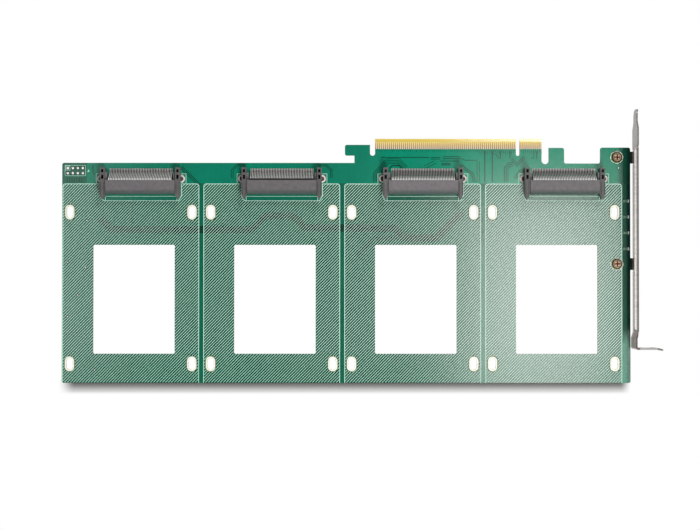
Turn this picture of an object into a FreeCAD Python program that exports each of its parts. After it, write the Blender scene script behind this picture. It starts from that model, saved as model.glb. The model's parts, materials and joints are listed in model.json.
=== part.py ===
# Long expansion card that carries four flat drives on its component side.
# The card lies component side up: +X points to the slot bracket, +Y to the edge contacts.
# Most pieces are drawn in the board frame: x from the board's left edge, y from its lower edge.
import FreeCAD, Part
import Sketcher
import math
import os
import re

DOCUMENT_NAME = "DriveCard"
LOCK_FACETS = 6
START, END, CENTRE = range(1, 4)
ORIGIN_POINT = -START
ALONG_X = FreeCAD.Vector(1, 0, 0)
ALONG_Y = FreeCAD.Vector(0, 1, 0)
ALONG_Z = FreeCAD.Vector(0, 0, 1)

SIZES = {
    # Printed circuit board, counted from the drive bays outward
    "board_depth": 111.15,
    "board_thickness": 1.6,
    "board_corner": 1.0,
    "left_margin": 3.89,
    "right_margin": 7.89,
    # Edge contacts; rises are above the board's main upper edge
    "contacts_setback": 44.8,
    "tongue_rise": 12.25,
    "contact_pitch": 1.0,
    "contact_margin": 0.575,
    "long_row_count": 71,
    "short_row_count": 11,
    "contact_width": 0.7,
    "contact_length": 3.7,
    "contact_thickness": 0.05,
    "bevel_length": 1.5,
    "bevel_margin": 0.1,
    "bevel_depth": 0.45,
    "key_gap": 1.85,
    "key_depth": 8.7,
    # Retention hook left of the contacts
    "hook_gap": 2.55,
    "hook_gap_depth": 8.6,
    "hook_width": 12.7,
    "hook_rise": 9.15,
    "hook_neck": 7.9,
    "hook_undercut": 3.75,
    # Tab and corner block right of the contacts
    "tab_gap": 3.6,
    "tab_gap_depth": 12.8,
    "tab_width": 7.8,
    "tab_rise": 7.65,
    "corner_block_width": 15.15,
    "corner_block_rise": 7.8,
    "wide_gap_sink": 0.25,
    # Drive bays: a drive's four screw slots and the window between them
    "bay_count": 4,
    "slot_span": 61.72,
    "bay_gap": 9.48,
    "slot_row_span": 76.6,
    "slot_foot": 9.6,
    "slot_radius": 1.6,
    "slot_length": 6.0,
    "window_width": 41.2,
    "window_length": 55.0,
    "window_shift": 1.6,
    "window_foot": 14.7,
    "window_corner": 0.4,
    # Header holes in the corner
    "header_pitch": 2.54,
    "header_columns": 4,
    "header_rows": 2,
    "header_inset": 2.8,
    "header_drop": 2.66,
    "header_hole_radius": 0.5,
    # Drive connectors, drawn from the middle of the mouth's front edge at board level
    "connector_shift": 5.15,
    "connector_drop": 15.95,
    "housing_height": 7.4,
    "housing_body_depth": 6.9,
    "housing_bevel": 0.8,
    "shelf_depth": 2.4,
    "shelf_height": 0.9,
    "arm_width": 2.4,
    "arm_height": 6.9,
    "arm_reach": 2.45,
    "arm_tail": 6.35,
    "arm_tip_width": 0.8,
    "arm_tip_length": 1.9,
    "mouth_side_wall": 1.4,
    "mouth_back_wall": 1.7,
    "mouth_height": 2.3,
    "mouth_foot": 2.6,
    "key_slot_width": 1.3,
    "key_slot_drop": 1.5,
    "latch_hole_width": 1.2,
    "latch_hole_inset": 0.6,
    "rear_latch_length": 1.6,
    "front_latch_length": 2.1,
    "rear_latch_margin": 0.9,
    "latch_hole_gap": 1.2,
    "latch_hole_depth": 4.5,
    "arm_groove_width": 0.35,
    "arm_groove_depth": 0.4,
    "side_wall_width": 1.1,
    "side_wall_height": 5.2,
    # Contact leads behind each housing
    "lead_count": 40,
    "lead_pitch": 0.8,
    "lead_width": 0.36,
    "lead_clearance": 0.82,
    "lead_thickness": 0.2,
    "lead_drop": 1.1,
    "lead_shoulder": 1.1,
    "lead_slope": 3.1,
    "lead_foot": 1.9,
    # Board locks beside each housing
    "lock_radius": 2.0,
    "lock_hole_radius": 1.15,
    "lock_height": 0.5,
    "lock_setback": 1.0,
    "lock_clearance": 0.05,
    # Slot bracket, one folded steel sheet, chained downward from the flange's head
    "sheet_metal": 0.86,
    "bracket_gap": 1.4,
    "bracket_width": 18.42,
    "flange_rise": 6.9,
    "flange_length": 91.65,
    "flange_width": 2.55,
    "flange_slant": 1.6,
    "flange_clearance": 0.8,
    "fold_radius": 0.8,
    "relief_gap": 0.9,
    "relief_depth": 1.7,
    "shoulder_length": 8.75,
    "taper_length": 3.5,
    "tip_length": 6.4,
    "tip_width": 10.19,
    "tip_round": 2.5,
    "tip_kick": 0.35,
    "tip_kick_length": 3.0,
    "jog_length": 3.0,
    "jog_step": 0.86,
    "tab_drop": 5.5,
    "tab_reach": 12.3,
    "tab_bend_radius": 0.4,
    "lip_length": 2.4,
    "lip_drop": 0.6,
    "tab_corner_cut": 3.2,
    "screw_notch_radius": 2.21,
    "screw_notch_reach": 5.6,
    "screw_notch_depth": 5.0,
    # Bracket ears and their screws
    "ear_width": 6.0,
    "ear_margin": 3.8,
    "ear_corner": 1.2,
    "ear_relief_gap": 0.8,
    "ear_relief_depth": 1.6,
    "screw_setback": 6.8,
    "screw_rise": 2.85,
    "screw_span": 53.9,
    "screw_radius": 1.45,
    "screw_clearance": 0.15,
    "thread_clearance": 0.05,
    "screw_head_radius": 2.6,
    "screw_head_height": 1.9,
    "head_rim_height": 0.9,
    "head_crown_inset": 0.6,
    "screw_end_margin": 0.1,
    "recess_length": 2.7,
    "recess_width": 0.7,
    "recess_depth": 1.2,
    # Small parts
    "light_length": 2.0,
    "light_width": 1.25,
    "light_height": 0.7,
    "light_pitch": 8.05,
    "light_count": 4,
    "light_setback": 2.0,
    "light_margin": 4.6,
    "resistor_length": 1.6,
    "resistor_width": 0.8,
    "resistor_height": 0.45,
    "clock_chip_side": 6.0,
    "clock_chip_height": 0.8,
    "clock_chip_edge": 0.2,
    "clock_chip_inset": 34.85,
    "clock_chip_drop": 8.15,
    "clock_resistor_count": 8,
    "clock_resistor_pitch": 1.4,
    "clock_resistor_drop": 3.2,
    "capacitor_length": 2.0,
    "capacitor_width": 1.25,
    "capacitor_height": 0.8,
    "capacitor_spread": 26.0,
    "capacitor_gap": 7.2,
}

# Formulas that several pieces share, along the board
FIRST_BAY = "(left_margin + slot_span / 2)"
BAY_PITCH = "(slot_span + bay_gap)"
BOARD_LENGTH = f"({FIRST_BAY} + (bay_count - 1) * {BAY_PITCH} + slot_span / 2 + right_margin)"
SHORT_RIGHT = f"({BOARD_LENGTH} - contacts_setback)"
SHORT_LEFT = f"({SHORT_RIGHT} - (short_row_count - 1) * contact_pitch - 2 * contact_margin)"
KEY_LEFT = f"({SHORT_LEFT} - key_gap)"
TONGUE_LEFT = f"({KEY_LEFT} - (long_row_count - 1) * contact_pitch - 2 * contact_margin)"
TAB_RIGHT = f"({SHORT_RIGHT} + tab_gap + tab_width)"
HOOK_RIGHT = f"({TONGUE_LEFT} - hook_gap)"
HOOK_LEFT = f"({HOOK_RIGHT} - hook_width)"
NECK_LEFT = f"({HOOK_RIGHT} - hook_neck)"
BLOCK_LEFT = f"({BOARD_LENGTH} - corner_block_width)"
PLATE_INNER = f"({BOARD_LENGTH} + bracket_gap)"
PLATE_OUTER = f"({PLATE_INNER} + sheet_metal)"
BRACKET_END = f"({PLATE_OUTER} + tab_reach)"
SCREW_X = f"({BOARD_LENGTH} - screw_setback)"

# Formulas across the board
TONGUE_END = "(board_depth + tongue_rise)"
CONNECTOR_FOOT = "(board_depth - connector_drop)"
UPPER_SCREW = "(board_depth + screw_rise)"
LOWER_SCREW = f"({UPPER_SCREW} - screw_span)"
FLANGE_HEAD = "(board_depth + flange_rise)"
FLANGE_FOOT = f"({FLANGE_HEAD} - flange_length)"
JOG_TOP = f"({FLANGE_FOOT} - flange_clearance)"
JOG_FOOT = f"({JOG_TOP} - jog_length)"
TAB_FACE = f"({JOG_FOOT} - tab_drop)"
TAPER_START = f"({FLANGE_HEAD} + relief_gap + shoulder_length)"
TAPER_END = f"({TAPER_START} + taper_length)"
BRACKET_TIP = f"({TAPER_END} + tip_length)"

# Formulas of the drive connectors
LEAD_ROW = "((lead_count - 1) * lead_pitch)"
ARM_INSIDE = f"(({LEAD_ROW} + lead_width) / 2 + lead_clearance + side_wall_width)"
ARM_OUTSIDE = f"({ARM_INSIDE} + arm_width)"
ARM_REAR = "(housing_body_depth + arm_tail)"
LOCK_X = f"({ARM_OUTSIDE} + lock_clearance)"
LOCK_Y = "(housing_body_depth + lock_setback)"

# The row's origin is under the middle of everything, on the level that the card lies on
CARD_X = f"(-{BRACKET_END} / 2)"
CARD_Y = f"(-{BRACKET_TIP} / 2)"
BOARD_BACK = "sheet_metal"
BOARD_FRONT = "(sheet_metal + board_thickness)"

doc = FreeCAD.newDocument(DOCUMENT_NAME)
sheet = doc.addObject("Spreadsheet::Sheet", "Sizes")
for row, (size_name, size) in enumerate(SIZES.items(), start=1):
    sheet.set(f"A{row}", size_name)
    sheet.set(f"B{row}", str(size))
    sheet.setAlias(f"B{row}", size_name)
doc.recompute()


def sized(formula):
    """Point each size name in a formula at its cell in the sheet."""
    return re.sub(r"[a-z_]+", lambda word: f"Sizes.{word[0]}" if word[0] in SIZES else word[0], formula)


def value(formula):
    """Work a formula out as a number."""
    return float(sheet.evalExpression(sized(formula)))


def bind(owner, **formulas):
    """Bind properties of an object to formulas of the sheet."""
    for name, formula in formulas.items():
        owner.setExpression(name, sized(formula))


def new_body(label, x="0", y="0", z="0"):
    """Start a piece at its place in the card."""
    body = doc.addObject("PartDesign::Body", label)
    body.Label = label
    body.AllowCompound = True
    for axis, formula in zip("xyz", (x, y, z)):
        body.setExpression(f"Placement.Base.{axis}", sized(formula))
    return body


def plane_of(body, role):
    """Find one of the body's own origin planes or axes."""
    return next(feature for feature in body.Origin.OriginFeatures if feature.Role == role)


def new_sketch(body, name, role="XY_Plane", lift="0"):
    """Attach an empty sketch to an origin plane, lifted along its normal."""
    sketch = body.newObject("Sketcher::SketchObject", f"{body.Name}_{name}")
    sketch.AttachmentSupport = [(plane_of(body, role), "")]
    sketch.MapMode = "FlatFace"
    sketch.setExpression("AttachmentOffset.Base.z", sized(lift))
    return sketch


def pin(sketch, item, spot, x, y):
    """Hold one point of a sketch at formulas of the sheet."""
    for kind, formula in (("DistanceX", x), ("DistanceY", y)):
        constraint = Sketcher.Constraint(kind, ORIGIN_POINT, START, item, spot, value(formula))
        index = sketch.addConstraint(constraint)
        sketch.setExpression(f"Constraints[{index}]", sized(formula))


def add_outline(sketch, points):
    """Draw a closed outline of straight edges through the given corners."""
    first = sketch.GeometryCount
    corners = [FreeCAD.Vector(value(x), value(y), 0) for x, y in points]
    for start, end in zip(corners, corners[1:] + corners[:1]):
        sketch.addGeometry(Part.LineSegment(start, end), False)
    for step, (x, y) in enumerate(points):
        edge = first + step
        following = first + (step + 1) % len(points)
        sketch.addConstraint(Sketcher.Constraint("Coincident", edge, END, following, START))
        pin(sketch, edge, START, x, y)


def add_box(sketch, left, foot, right, head):
    """Draw a rectangle between two corners."""
    add_outline(sketch, [(left, foot), (right, foot), (right, head), (left, head)])


def add_circle(sketch, x, y, radius):
    """Draw a circle about a pinned centre."""
    centre = FreeCAD.Vector(value(x), value(y), 0)
    item = sketch.addGeometry(Part.Circle(centre, FreeCAD.Vector(0, 0, 1), value(radius)), False)
    pin(sketch, item, CENTRE, x, y)
    index = sketch.addConstraint(Sketcher.Constraint("Radius", item, value(radius)))
    sketch.setExpression(f"Constraints[{index}]", sized(radius))


def add_upright_slot(sketch, x, low, high, radius):
    """Draw a round-ended slot along the sketch's second axis, between two arc centres."""
    reach = value(radius)
    head, foot = (FreeCAD.Vector(value(x), value(y), 0) for y in (high, low))
    aside = FreeCAD.Vector(reach, 0, 0)
    loop = [sketch.addGeometry(piece, False) for piece in (
        Part.ArcOfCircle(Part.Circle(head, ALONG_Z, reach), 0, math.pi),
        Part.LineSegment(head - aside, foot - aside),
        Part.ArcOfCircle(Part.Circle(foot, ALONG_Z, reach), math.pi, 2 * math.pi),
        Part.LineSegment(foot + aside, head + aside),
    )]
    cap, _, cup, _ = loop
    for piece, following in zip(loop, loop[1:] + loop[:1]):
        sketch.addConstraint(Sketcher.Constraint("Tangent", piece, END, following, START))
    pin(sketch, cap, CENTRE, x, high)
    pin(sketch, cup, CENTRE, x, low)
    index = sketch.addConstraint(Sketcher.Constraint("Radius", cap, reach))
    sketch.setExpression(f"Constraints[{index}]", sized(radius))


def finished(body, feature, name):
    """Label a feature, recompute and stop if it failed."""
    feature.Label = f"{body.Label} {name}"
    doc.recompute()
    if "Invalid" in feature.State or "Error" in feature.State or feature.Shape.isNull():
        raise RuntimeError(f"{feature.Label} failed: {feature.State}")
    return feature


def pad(body, sketch, length, name):
    """Raise a sketch along its normal."""
    feature = body.newObject("PartDesign::Pad", f"{body.Name}_{name}")
    feature.Profile = sketch
    bind(feature, Length=length)
    return finished(body, feature, name)


def cut(body, sketch, name, depth=None, along_normal=False):
    """Cut a sketch into the body, to a depth below its plane or right through both ways."""
    before = body.Shape.Volume
    feature = body.newObject("PartDesign::Pocket", f"{body.Name}_{name}")
    feature.Profile = sketch
    feature.Reversed = along_normal
    if depth is None:
        feature.Midplane = True
        feature.Type = "ThroughAll"
    else:
        bind(feature, Length=depth)
    finished(body, feature, name)
    if body.Shape.Volume >= before:
        raise RuntimeError(f"{feature.Label} cuts nothing")
    return feature


def repeat(body, features, name, axis, pitch, count, second=None):
    """Repeat features in a row, or in rows when a second axis, pitch and count are given."""
    feature = body.newObject("PartDesign::LinearPattern", f"{body.Name}_{name}")
    feature.Originals = features
    feature.Direction = (plane_of(body, axis), [""])
    bind(feature, Length=f"{pitch} * ({count} - 1)", Occurrences=count)
    if second:
        second_axis, second_pitch, second_count = second
        feature.Direction2 = (plane_of(body, second_axis), [""])
        bind(feature, Length2=f"{second_pitch} * ({second_count} - 1)", Occurrences2=second_count)
    body.Tip = feature
    return finished(body, feature, name)


def edges_at(feature, direction, *spots):
    """Name the edges that run along a direction through the given points; None leaves an axis free."""
    names = []
    for number, edge in enumerate(feature.Shape.Edges, start=1):
        if not isinstance(edge.Curve, Part.Line):
            continue
        if abs(abs(edge.tangentAt(edge.FirstParameter).dot(direction)) - 1) > 1e-6:
            continue
        middle = edge.CenterOfMass
        for spot in spots:
            if all(want is None or abs(want - have) < 1e-3 for want, have in zip(spot, middle)):
                names.append(f"Edge{number}")
    if len(names) < len(spots):
        raise RuntimeError(f"{feature.Label}: {len(names)} edges found of {len(spots)}")
    return names


def rounded(body, base, edge_names, radius, name):
    """Round edges of the last feature."""
    feature = body.newObject("PartDesign::Fillet", f"{body.Name}_{name}")
    feature.Base = (base, edge_names)
    bind(feature, Radius=radius)
    return finished(body, feature, name)


def bevelled(body, base, edge_names, size, name):
    """Cut edges of the last feature off at 45 degrees."""
    feature = body.newObject("PartDesign::Chamfer", f"{body.Name}_{name}")
    feature.Base = (base, edge_names)
    bind(feature, Size=size)
    return finished(body, feature, name)


def make_board():
    """Glass-fibre board with its contact tongues, hook, windows, slots and holes."""
    body = new_body("circuit_board", CARD_X, CARD_Y, BOARD_BACK)
    hook_middle = f"({TONGUE_LEFT} - hook_gap / 2)"
    tab_middle = f"({SHORT_RIGHT} + tab_gap / 2)"
    sharp, soft = False, True
    corners = [
        ("0", "0", soft),
        (BOARD_LENGTH, "0", soft),
        (BOARD_LENGTH, "board_depth + corner_block_rise", soft),
        (BLOCK_LEFT, "board_depth + corner_block_rise", soft),
        (BLOCK_LEFT, "board_depth - wide_gap_sink", soft),
        (TAB_RIGHT, "board_depth - wide_gap_sink", soft),
        (TAB_RIGHT, "board_depth + tab_rise", soft),
        (tab_middle, "board_depth + tab_rise", sharp),
        (tab_middle, TONGUE_END, sharp),
        (hook_middle, TONGUE_END, sharp),
        (hook_middle, "board_depth + hook_rise", sharp),
        (HOOK_LEFT, "board_depth + hook_rise", soft),
        (HOOK_LEFT, "board_depth + hook_undercut", soft),
        (NECK_LEFT, "board_depth + hook_undercut", sharp),
        (NECK_LEFT, "board_depth", sharp),
        ("0", "board_depth", soft),
    ]
    sketch = new_sketch(body, "outline")
    add_outline(sketch, [(x, y) for x, y, _ in corners])
    plate = pad(body, sketch, "board_thickness", "plate")
    spots = [(value(x), value(y), None) for x, y, kind in corners if kind is soft]
    rounded(body, plate, edges_at(plate, ALONG_Z, *spots), "board_corner", "corners")

    notches = new_sketch(body, "notches")
    for middle, gap, depth in (
        (hook_middle, "hook_gap", "hook_gap_depth"),
        (f"({KEY_LEFT} + key_gap / 2)", "key_gap", "key_depth"),
        (tab_middle, "tab_gap", "tab_gap_depth"),
    ):
        floor = f"{TONGUE_END} - {depth}"
        add_upright_slot(notches, middle, f"{floor} + {gap} / 2", f"{TONGUE_END} + {gap}", f"{gap} / 2")
    cut(body, notches, "notches")

    bevel = new_sketch(body, "bevel", "YZ_Plane", hook_middle)
    heel, past = f"{TONGUE_END} - bevel_length", f"{TONGUE_END} + bevel_length"
    for face, inward, outward in (("0", "+", "-"), ("board_thickness", "-", "+")):
        slope_end, clear = f"{face} {inward} 2 * bevel_depth", f"{face} {outward} bevel_depth"
        add_outline(bevel, [(heel, face), (past, slope_end), (past, clear), (heel, clear)])
    cut(body, bevel, "bevel", f"{tab_middle} - {hook_middle}", along_normal=True)

    window = new_sketch(body, "window")
    middle = f"({FIRST_BAY} + window_shift)"
    left, right = f"{middle} - window_width / 2", f"{middle} + window_width / 2"
    foot, head = "window_foot", "window_foot + window_length"
    add_box(window, left, foot, right, head)
    window_cut = cut(body, window, "window")
    spots = [(value(x), value(y), None) for x in (left, right) for y in (foot, head)]
    frame = edges_at(window_cut, ALONG_Z, *spots)
    soft_window = bevelled(body, window_cut, frame, "window_corner", "window corners")

    slots = new_sketch(body, "slots")
    reach = "(slot_length / 2 - slot_radius)"
    for x in ("left_margin", "(left_margin + slot_span)"):
        for row in ("slot_foot", "(slot_foot + slot_row_span)"):
            add_upright_slot(slots, x, f"{row} - {reach}", f"{row} + {reach}", "slot_radius")
    slot_cut = cut(body, slots, "slots")
    repeat(body, [window_cut, soft_window, slot_cut], "bays", "X_Axis", BAY_PITCH, "bay_count")

    hole = new_sketch(body, "header_hole")
    first_row = "(board_depth - header_drop - (header_rows - 1) * header_pitch)"
    add_circle(hole, "header_inset", first_row, "header_hole_radius")
    hole_cut = cut(body, hole, "header hole")
    rows = ("Y_Axis", "header_pitch", "header_rows")
    repeat(body, [hole_cut], "header", "X_Axis", "header_pitch", "header_columns", rows)

    holes = new_sketch(body, "screw_holes")
    for foot in (UPPER_SCREW, LOWER_SCREW):
        add_circle(holes, SCREW_X, foot, "screw_radius + screw_clearance")
    cut(body, holes, "screw holes")
    return body


def make_edge_contacts(label, level):
    """Gold contact strips of both tongues, on one face of the board."""
    body = new_body(label, CARD_X, CARD_Y, level)
    head = f"({TONGUE_END} - bevel_length - bevel_margin)"
    rows = []
    for name, left in (("long", TONGUE_LEFT), ("short", SHORT_LEFT)):
        sketch = new_sketch(body, name)
        edge = f"({left} + contact_margin - contact_width / 2)"
        add_box(sketch, edge, f"{head} - contact_length", f"{edge} + contact_width", head)
        strip = pad(body, sketch, "contact_thickness", f"{name} strip")
        rows.append((name, strip))
    for name, strip in rows:
        repeat(body, [strip], f"{name} row", "X_Axis", "contact_pitch", f"{name}_row_count")
    return body


def bay_x(bay):
    """Middle of a drive connector, from the row's origin."""
    return f"{CARD_X} + {FIRST_BAY} + {bay} * {BAY_PITCH} + connector_shift"


def connector_body(label, bay):
    """Start a piece of a drive connector in that connector's own frame."""
    return new_body(label, bay_x(bay), f"{CARD_Y} + {CONNECTOR_FOOT}", BOARD_FRONT)


def make_housing(bay):
    """Moulded housing: contact block and lead shelf between two guide arms with latch holes."""
    body = connector_body(f"drive_connector_housing_{bay + 1}", bay)
    outside, inside = ARM_OUTSIDE, ARM_INSIDE
    tip = "-arm_reach"
    heel = "(arm_tip_length - arm_reach)"
    margin = "((arm_width - arm_tip_width) / 2)"
    right_arm = [
        (inside, heel),
        (f"{inside} + {margin}", tip),
        (f"{outside} - {margin}", tip),
        (outside, heel),
        (outside, ARM_REAR),
        (inside, ARM_REAR),
    ]
    arms = new_sketch(body, "arms")
    add_outline(arms, right_arm)
    add_outline(arms, [(f"-({x})", y) for x, y in right_arm])
    pad(body, arms, "arm_height", "arms")

    block = new_sketch(body, "block")
    add_box(block, f"-{inside}", "0", inside, "housing_body_depth")
    pad(body, block, "housing_height", "block")

    bevel = new_sketch(body, "bevel", "YZ_Plane", f"-{inside}")
    add_outline(bevel, [
        ("-housing_bevel", "housing_height - 2 * housing_bevel"),
        ("2 * housing_bevel", "housing_height + housing_bevel"),
        ("-housing_bevel", "housing_height + housing_bevel"),
    ])
    cut(body, bevel, "bevel", f"2 * {inside}", along_normal=True)

    walls = new_sketch(body, "side_walls")
    wall_face = f"({inside} - side_wall_width)"
    for left, right in ((wall_face, inside), (f"-{inside}", f"-{wall_face}")):
        add_box(walls, left, "housing_body_depth", right, f"{ARM_REAR} - arm_width")
    pad(body, walls, "side_wall_height", "side walls")

    shelf = new_sketch(body, "shelf")
    add_box(shelf, f"-{wall_face}", "housing_body_depth", wall_face, "housing_body_depth + shelf_depth")
    pad(body, shelf, "shelf_height", "lead shelf")

    mouth = new_sketch(body, "mouth", "XZ_Plane")
    half = f"({inside} - mouth_side_wall)"
    roof = "(mouth_foot + mouth_height)"
    key_foot = "(mouth_foot - key_slot_drop)"
    add_outline(mouth, [
        (f"-{half}", key_foot),
        (f"key_slot_width - {half}", key_foot),
        (f"key_slot_width - {half}", "mouth_foot"),
        (f"{half} - key_slot_width", "mouth_foot"),
        (f"{half} - key_slot_width", key_foot),
        (half, key_foot),
        (half, roof),
        (f"-{half}", roof),
    ])
    cut(body, mouth, "mouth", "housing_body_depth - mouth_back_wall")

    latches = new_sketch(body, "latch_holes", "XY_Plane", "arm_height")
    rear_head = f"({ARM_REAR} - rear_latch_margin)"
    rear_foot = f"({rear_head} - rear_latch_length)"
    front_head = f"({rear_foot} - latch_hole_gap)"
    front_foot = f"({front_head} - front_latch_length)"
    for foot, head in ((rear_foot, rear_head), (front_foot, front_head)):
        left, right = f"{outside} - latch_hole_inset - latch_hole_width", f"{outside} - latch_hole_inset"
        add_box(latches, left, foot, right, head)
        add_box(latches, f"-({right})", foot, f"-({left})", head)
    cut(body, latches, "latch holes", "latch_hole_depth")

    groove = new_sketch(body, "grooves", "XY_Plane", "housing_height")
    groove_face = f"({inside} - arm_groove_width)"
    for left, right in ((groove_face, inside), (f"-{inside}", f"-{groove_face}")):
        add_box(groove, left, tip, right, "housing_body_depth - arm_groove_width")
    cut(body, groove, "grooves", "housing_height - arm_height + arm_groove_depth")
    return body


def make_leads(bay):
    """Row of bent contact leads from the back of a housing down to the board."""
    body = connector_body(f"connector_leads_{bay + 1}", bay)
    start = f"-({LEAD_ROW} + lead_width) / 2"
    profile = new_sketch(body, "profile", "YZ_Plane", start)
    heel = "housing_body_depth"
    bend = f"({heel} + lead_shoulder)"
    ankle = f"({bend} + lead_slope)"
    toe = f"({ankle} + lead_foot)"
    thick, height = "lead_thickness", "(housing_height - lead_drop)"
    add_outline(profile, [
        (heel, f"{height} - {thick}"),
        (f"{bend} - {thick} / 2", f"{height} - {thick}"),
        (f"{ankle} - {thick}", "0"),
        (toe, "0"),
        (toe, thick),
        (ankle, thick),
        (f"{bend} + {thick} / 2", height),
        (heel, height),
    ])
    lead = pad(body, profile, "lead_width", "lead")
    repeat(body, [lead], "row", "X_Axis", "lead_pitch", "lead_count")
    return body


def make_locks(bay):
    """Soldered collars of the board locks, one open ring on each side of a housing."""
    body = connector_body(f"board_locks_{bay + 1}", bay)
    outer, inner = "lock_radius", "lock_hole_radius"
    turns = [math.pi * corner / LOCK_FACETS for corner in range(LOCK_FACETS + 1)]
    half_ring = [(math.sin(turn), -math.cos(turn)) for turn in turns]
    collar = [(f"{outer} * {along:.6f}", f"{outer} * {across:.6f}") for along, across in half_ring]
    collar += [(f"{inner} * {along:.6f}", f"{inner} * {across:.6f}") for along, across in reversed(half_ring)]
    rings = new_sketch(body, "rings")
    for side in ("", "-"):
        add_outline(rings, [(f"{side}({LOCK_X} + {x})", f"{LOCK_Y} + {y}") for x, y in collar])
    pad(body, rings, "lock_height", "collars")
    return body


def make_bracket():
    """Slot bracket folded from one sheet: tongue, plate, side flange, jog, screw tab and two ears."""
    body = new_body("slot_bracket", CARD_X, CARD_Y)
    inner, outer = PLATE_INNER, PLATE_OUTER
    low_inner, low_outer = f"({inner} - jog_step)", f"({outer} - jog_step)"
    kick = f"({BRACKET_TIP} - tip_kick_length)"
    lip = f"({BRACKET_END} - lip_length)"
    tab_back = f"({TAB_FACE} + sheet_metal)"
    profile = new_sketch(body, "profile")
    add_outline(profile, [
        (f"{inner} + tip_kick", BRACKET_TIP),
        (inner, kick),
        (inner, JOG_TOP),
        (low_inner, JOG_FOOT),
        (low_inner, TAB_FACE),
        (lip, TAB_FACE),
        (BRACKET_END, f"{TAB_FACE} - lip_drop"),
        (BRACKET_END, f"{tab_back} - lip_drop"),
        (lip, tab_back),
        (low_outer, tab_back),
        (low_outer, JOG_FOOT),
        (outer, JOG_TOP),
        (outer, kick),
        (f"{outer} + tip_kick", BRACKET_TIP),
    ])
    strip = pad(body, profile, "bracket_width", "strip")
    heel = edges_at(strip, ALONG_Z, (value(low_inner), value(TAB_FACE), None))
    bent = rounded(body, strip, heel, "tab_bend_radius + sheet_metal", "tab heel")
    crook = edges_at(bent, ALONG_Z, (value(low_outer), value(tab_back), None))
    rounded(body, bent, crook, "tab_bend_radius", "tab crook")

    shoulders = new_sketch(body, "shoulders", "YZ_Plane", inner)
    side = "(bracket_width - tip_width) / 2"
    past = f"({BRACKET_TIP} + sheet_metal)"
    high = "bracket_width"
    add_outline(shoulders, [(TAPER_START, "0"), (past, "0"), (past, side), (TAPER_END, side)])
    far = f"{high} - {side}"
    add_outline(shoulders, [(TAPER_START, high), (TAPER_END, far), (past, far), (past, high)])
    tongue = cut(body, shoulders, "tongue")
    tip = value(BRACKET_TIP)
    tips = edges_at(tongue, ALONG_X, (None, tip, value(side)), (None, tip, value(far)))
    rounded(body, tongue, tips, "tip_round", "tip")

    tab_cuts = new_sketch(body, "tab_cuts", "XZ_Plane")
    beyond = f"({BRACKET_END} + sheet_metal)"
    add_outline(tab_cuts, [
        (f"{BRACKET_END} - tab_corner_cut", high),
        (BRACKET_END, f"{high} - tab_corner_cut"),
        (beyond, f"{high} - tab_corner_cut"),
        (beyond, f"{high} + sheet_metal"),
        (f"{BRACKET_END} - tab_corner_cut", f"{high} + sheet_metal"),
    ])
    notch_x = f"({outer} + screw_notch_reach)"
    add_upright_slot(tab_cuts, notch_x, "-screw_notch_radius", "screw_notch_depth - screw_notch_radius",
                     "screw_notch_radius")
    cut(body, tab_cuts, "tab notch")

    flange = new_sketch(body, "flange", "XY_Plane", "bracket_width - sheet_metal")
    edge = f"({outer} - flange_width)"
    add_outline(flange, [
        (edge, f"{FLANGE_FOOT} + flange_slant"),
        (inner, FLANGE_FOOT),
        (outer, FLANGE_FOOT),
        (outer, FLANGE_HEAD),
        (edge, FLANGE_HEAD),
    ])
    pad(body, flange, "sheet_metal", "flange")

    ears = new_sketch(body, "ears")
    ear_end = f"({SCREW_X} - ear_margin)"
    half_ear = "ear_width / 2"
    for foot in (UPPER_SCREW, LOWER_SCREW):
        add_box(ears, ear_end, f"{foot} - {half_ear}", inner, f"{foot} + {half_ear}")
    eared = pad(body, ears, "sheet_metal", "ears")
    spots = [(value(ear_end), value(f"{foot} {sign} {half_ear}"), None)
             for foot in (UPPER_SCREW, LOWER_SCREW) for sign in ("-", "+")]
    bevelled(body, eared, edges_at(eared, ALONG_Z, *spots), "ear_corner", "ear corners")

    relief = new_sketch(body, "relief", "YZ_Plane", inner)
    above = f"{high} + sheet_metal"
    add_box(relief, FLANGE_HEAD, f"{high} - relief_depth", f"{FLANGE_HEAD} + relief_gap", above)
    for foot in (UPPER_SCREW, LOWER_SCREW):
        for side in (f"{foot} - {half_ear} - ear_relief_gap", f"{foot} + {half_ear}"):
            add_box(relief, side, "-sheet_metal", f"{side} + ear_relief_gap", "ear_relief_depth")
    relieved = cut(body, relief, "relief")
    fold_middle = value(f"({JOG_TOP} + {FLANGE_HEAD}) / 2")
    folds = edges_at(relieved, ALONG_Y, (value(outer), fold_middle, value(high)),
                     (value(outer), value(UPPER_SCREW), 0), (value(outer), value(LOWER_SCREW), 0))
    rounded(body, relieved, folds, "fold_radius", "folds")

    threads = new_sketch(body, "threads")
    for foot in (UPPER_SCREW, LOWER_SCREW):
        add_circle(threads, SCREW_X, foot, "screw_radius + thread_clearance")
    cut(body, threads, "threads")
    return body


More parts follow.
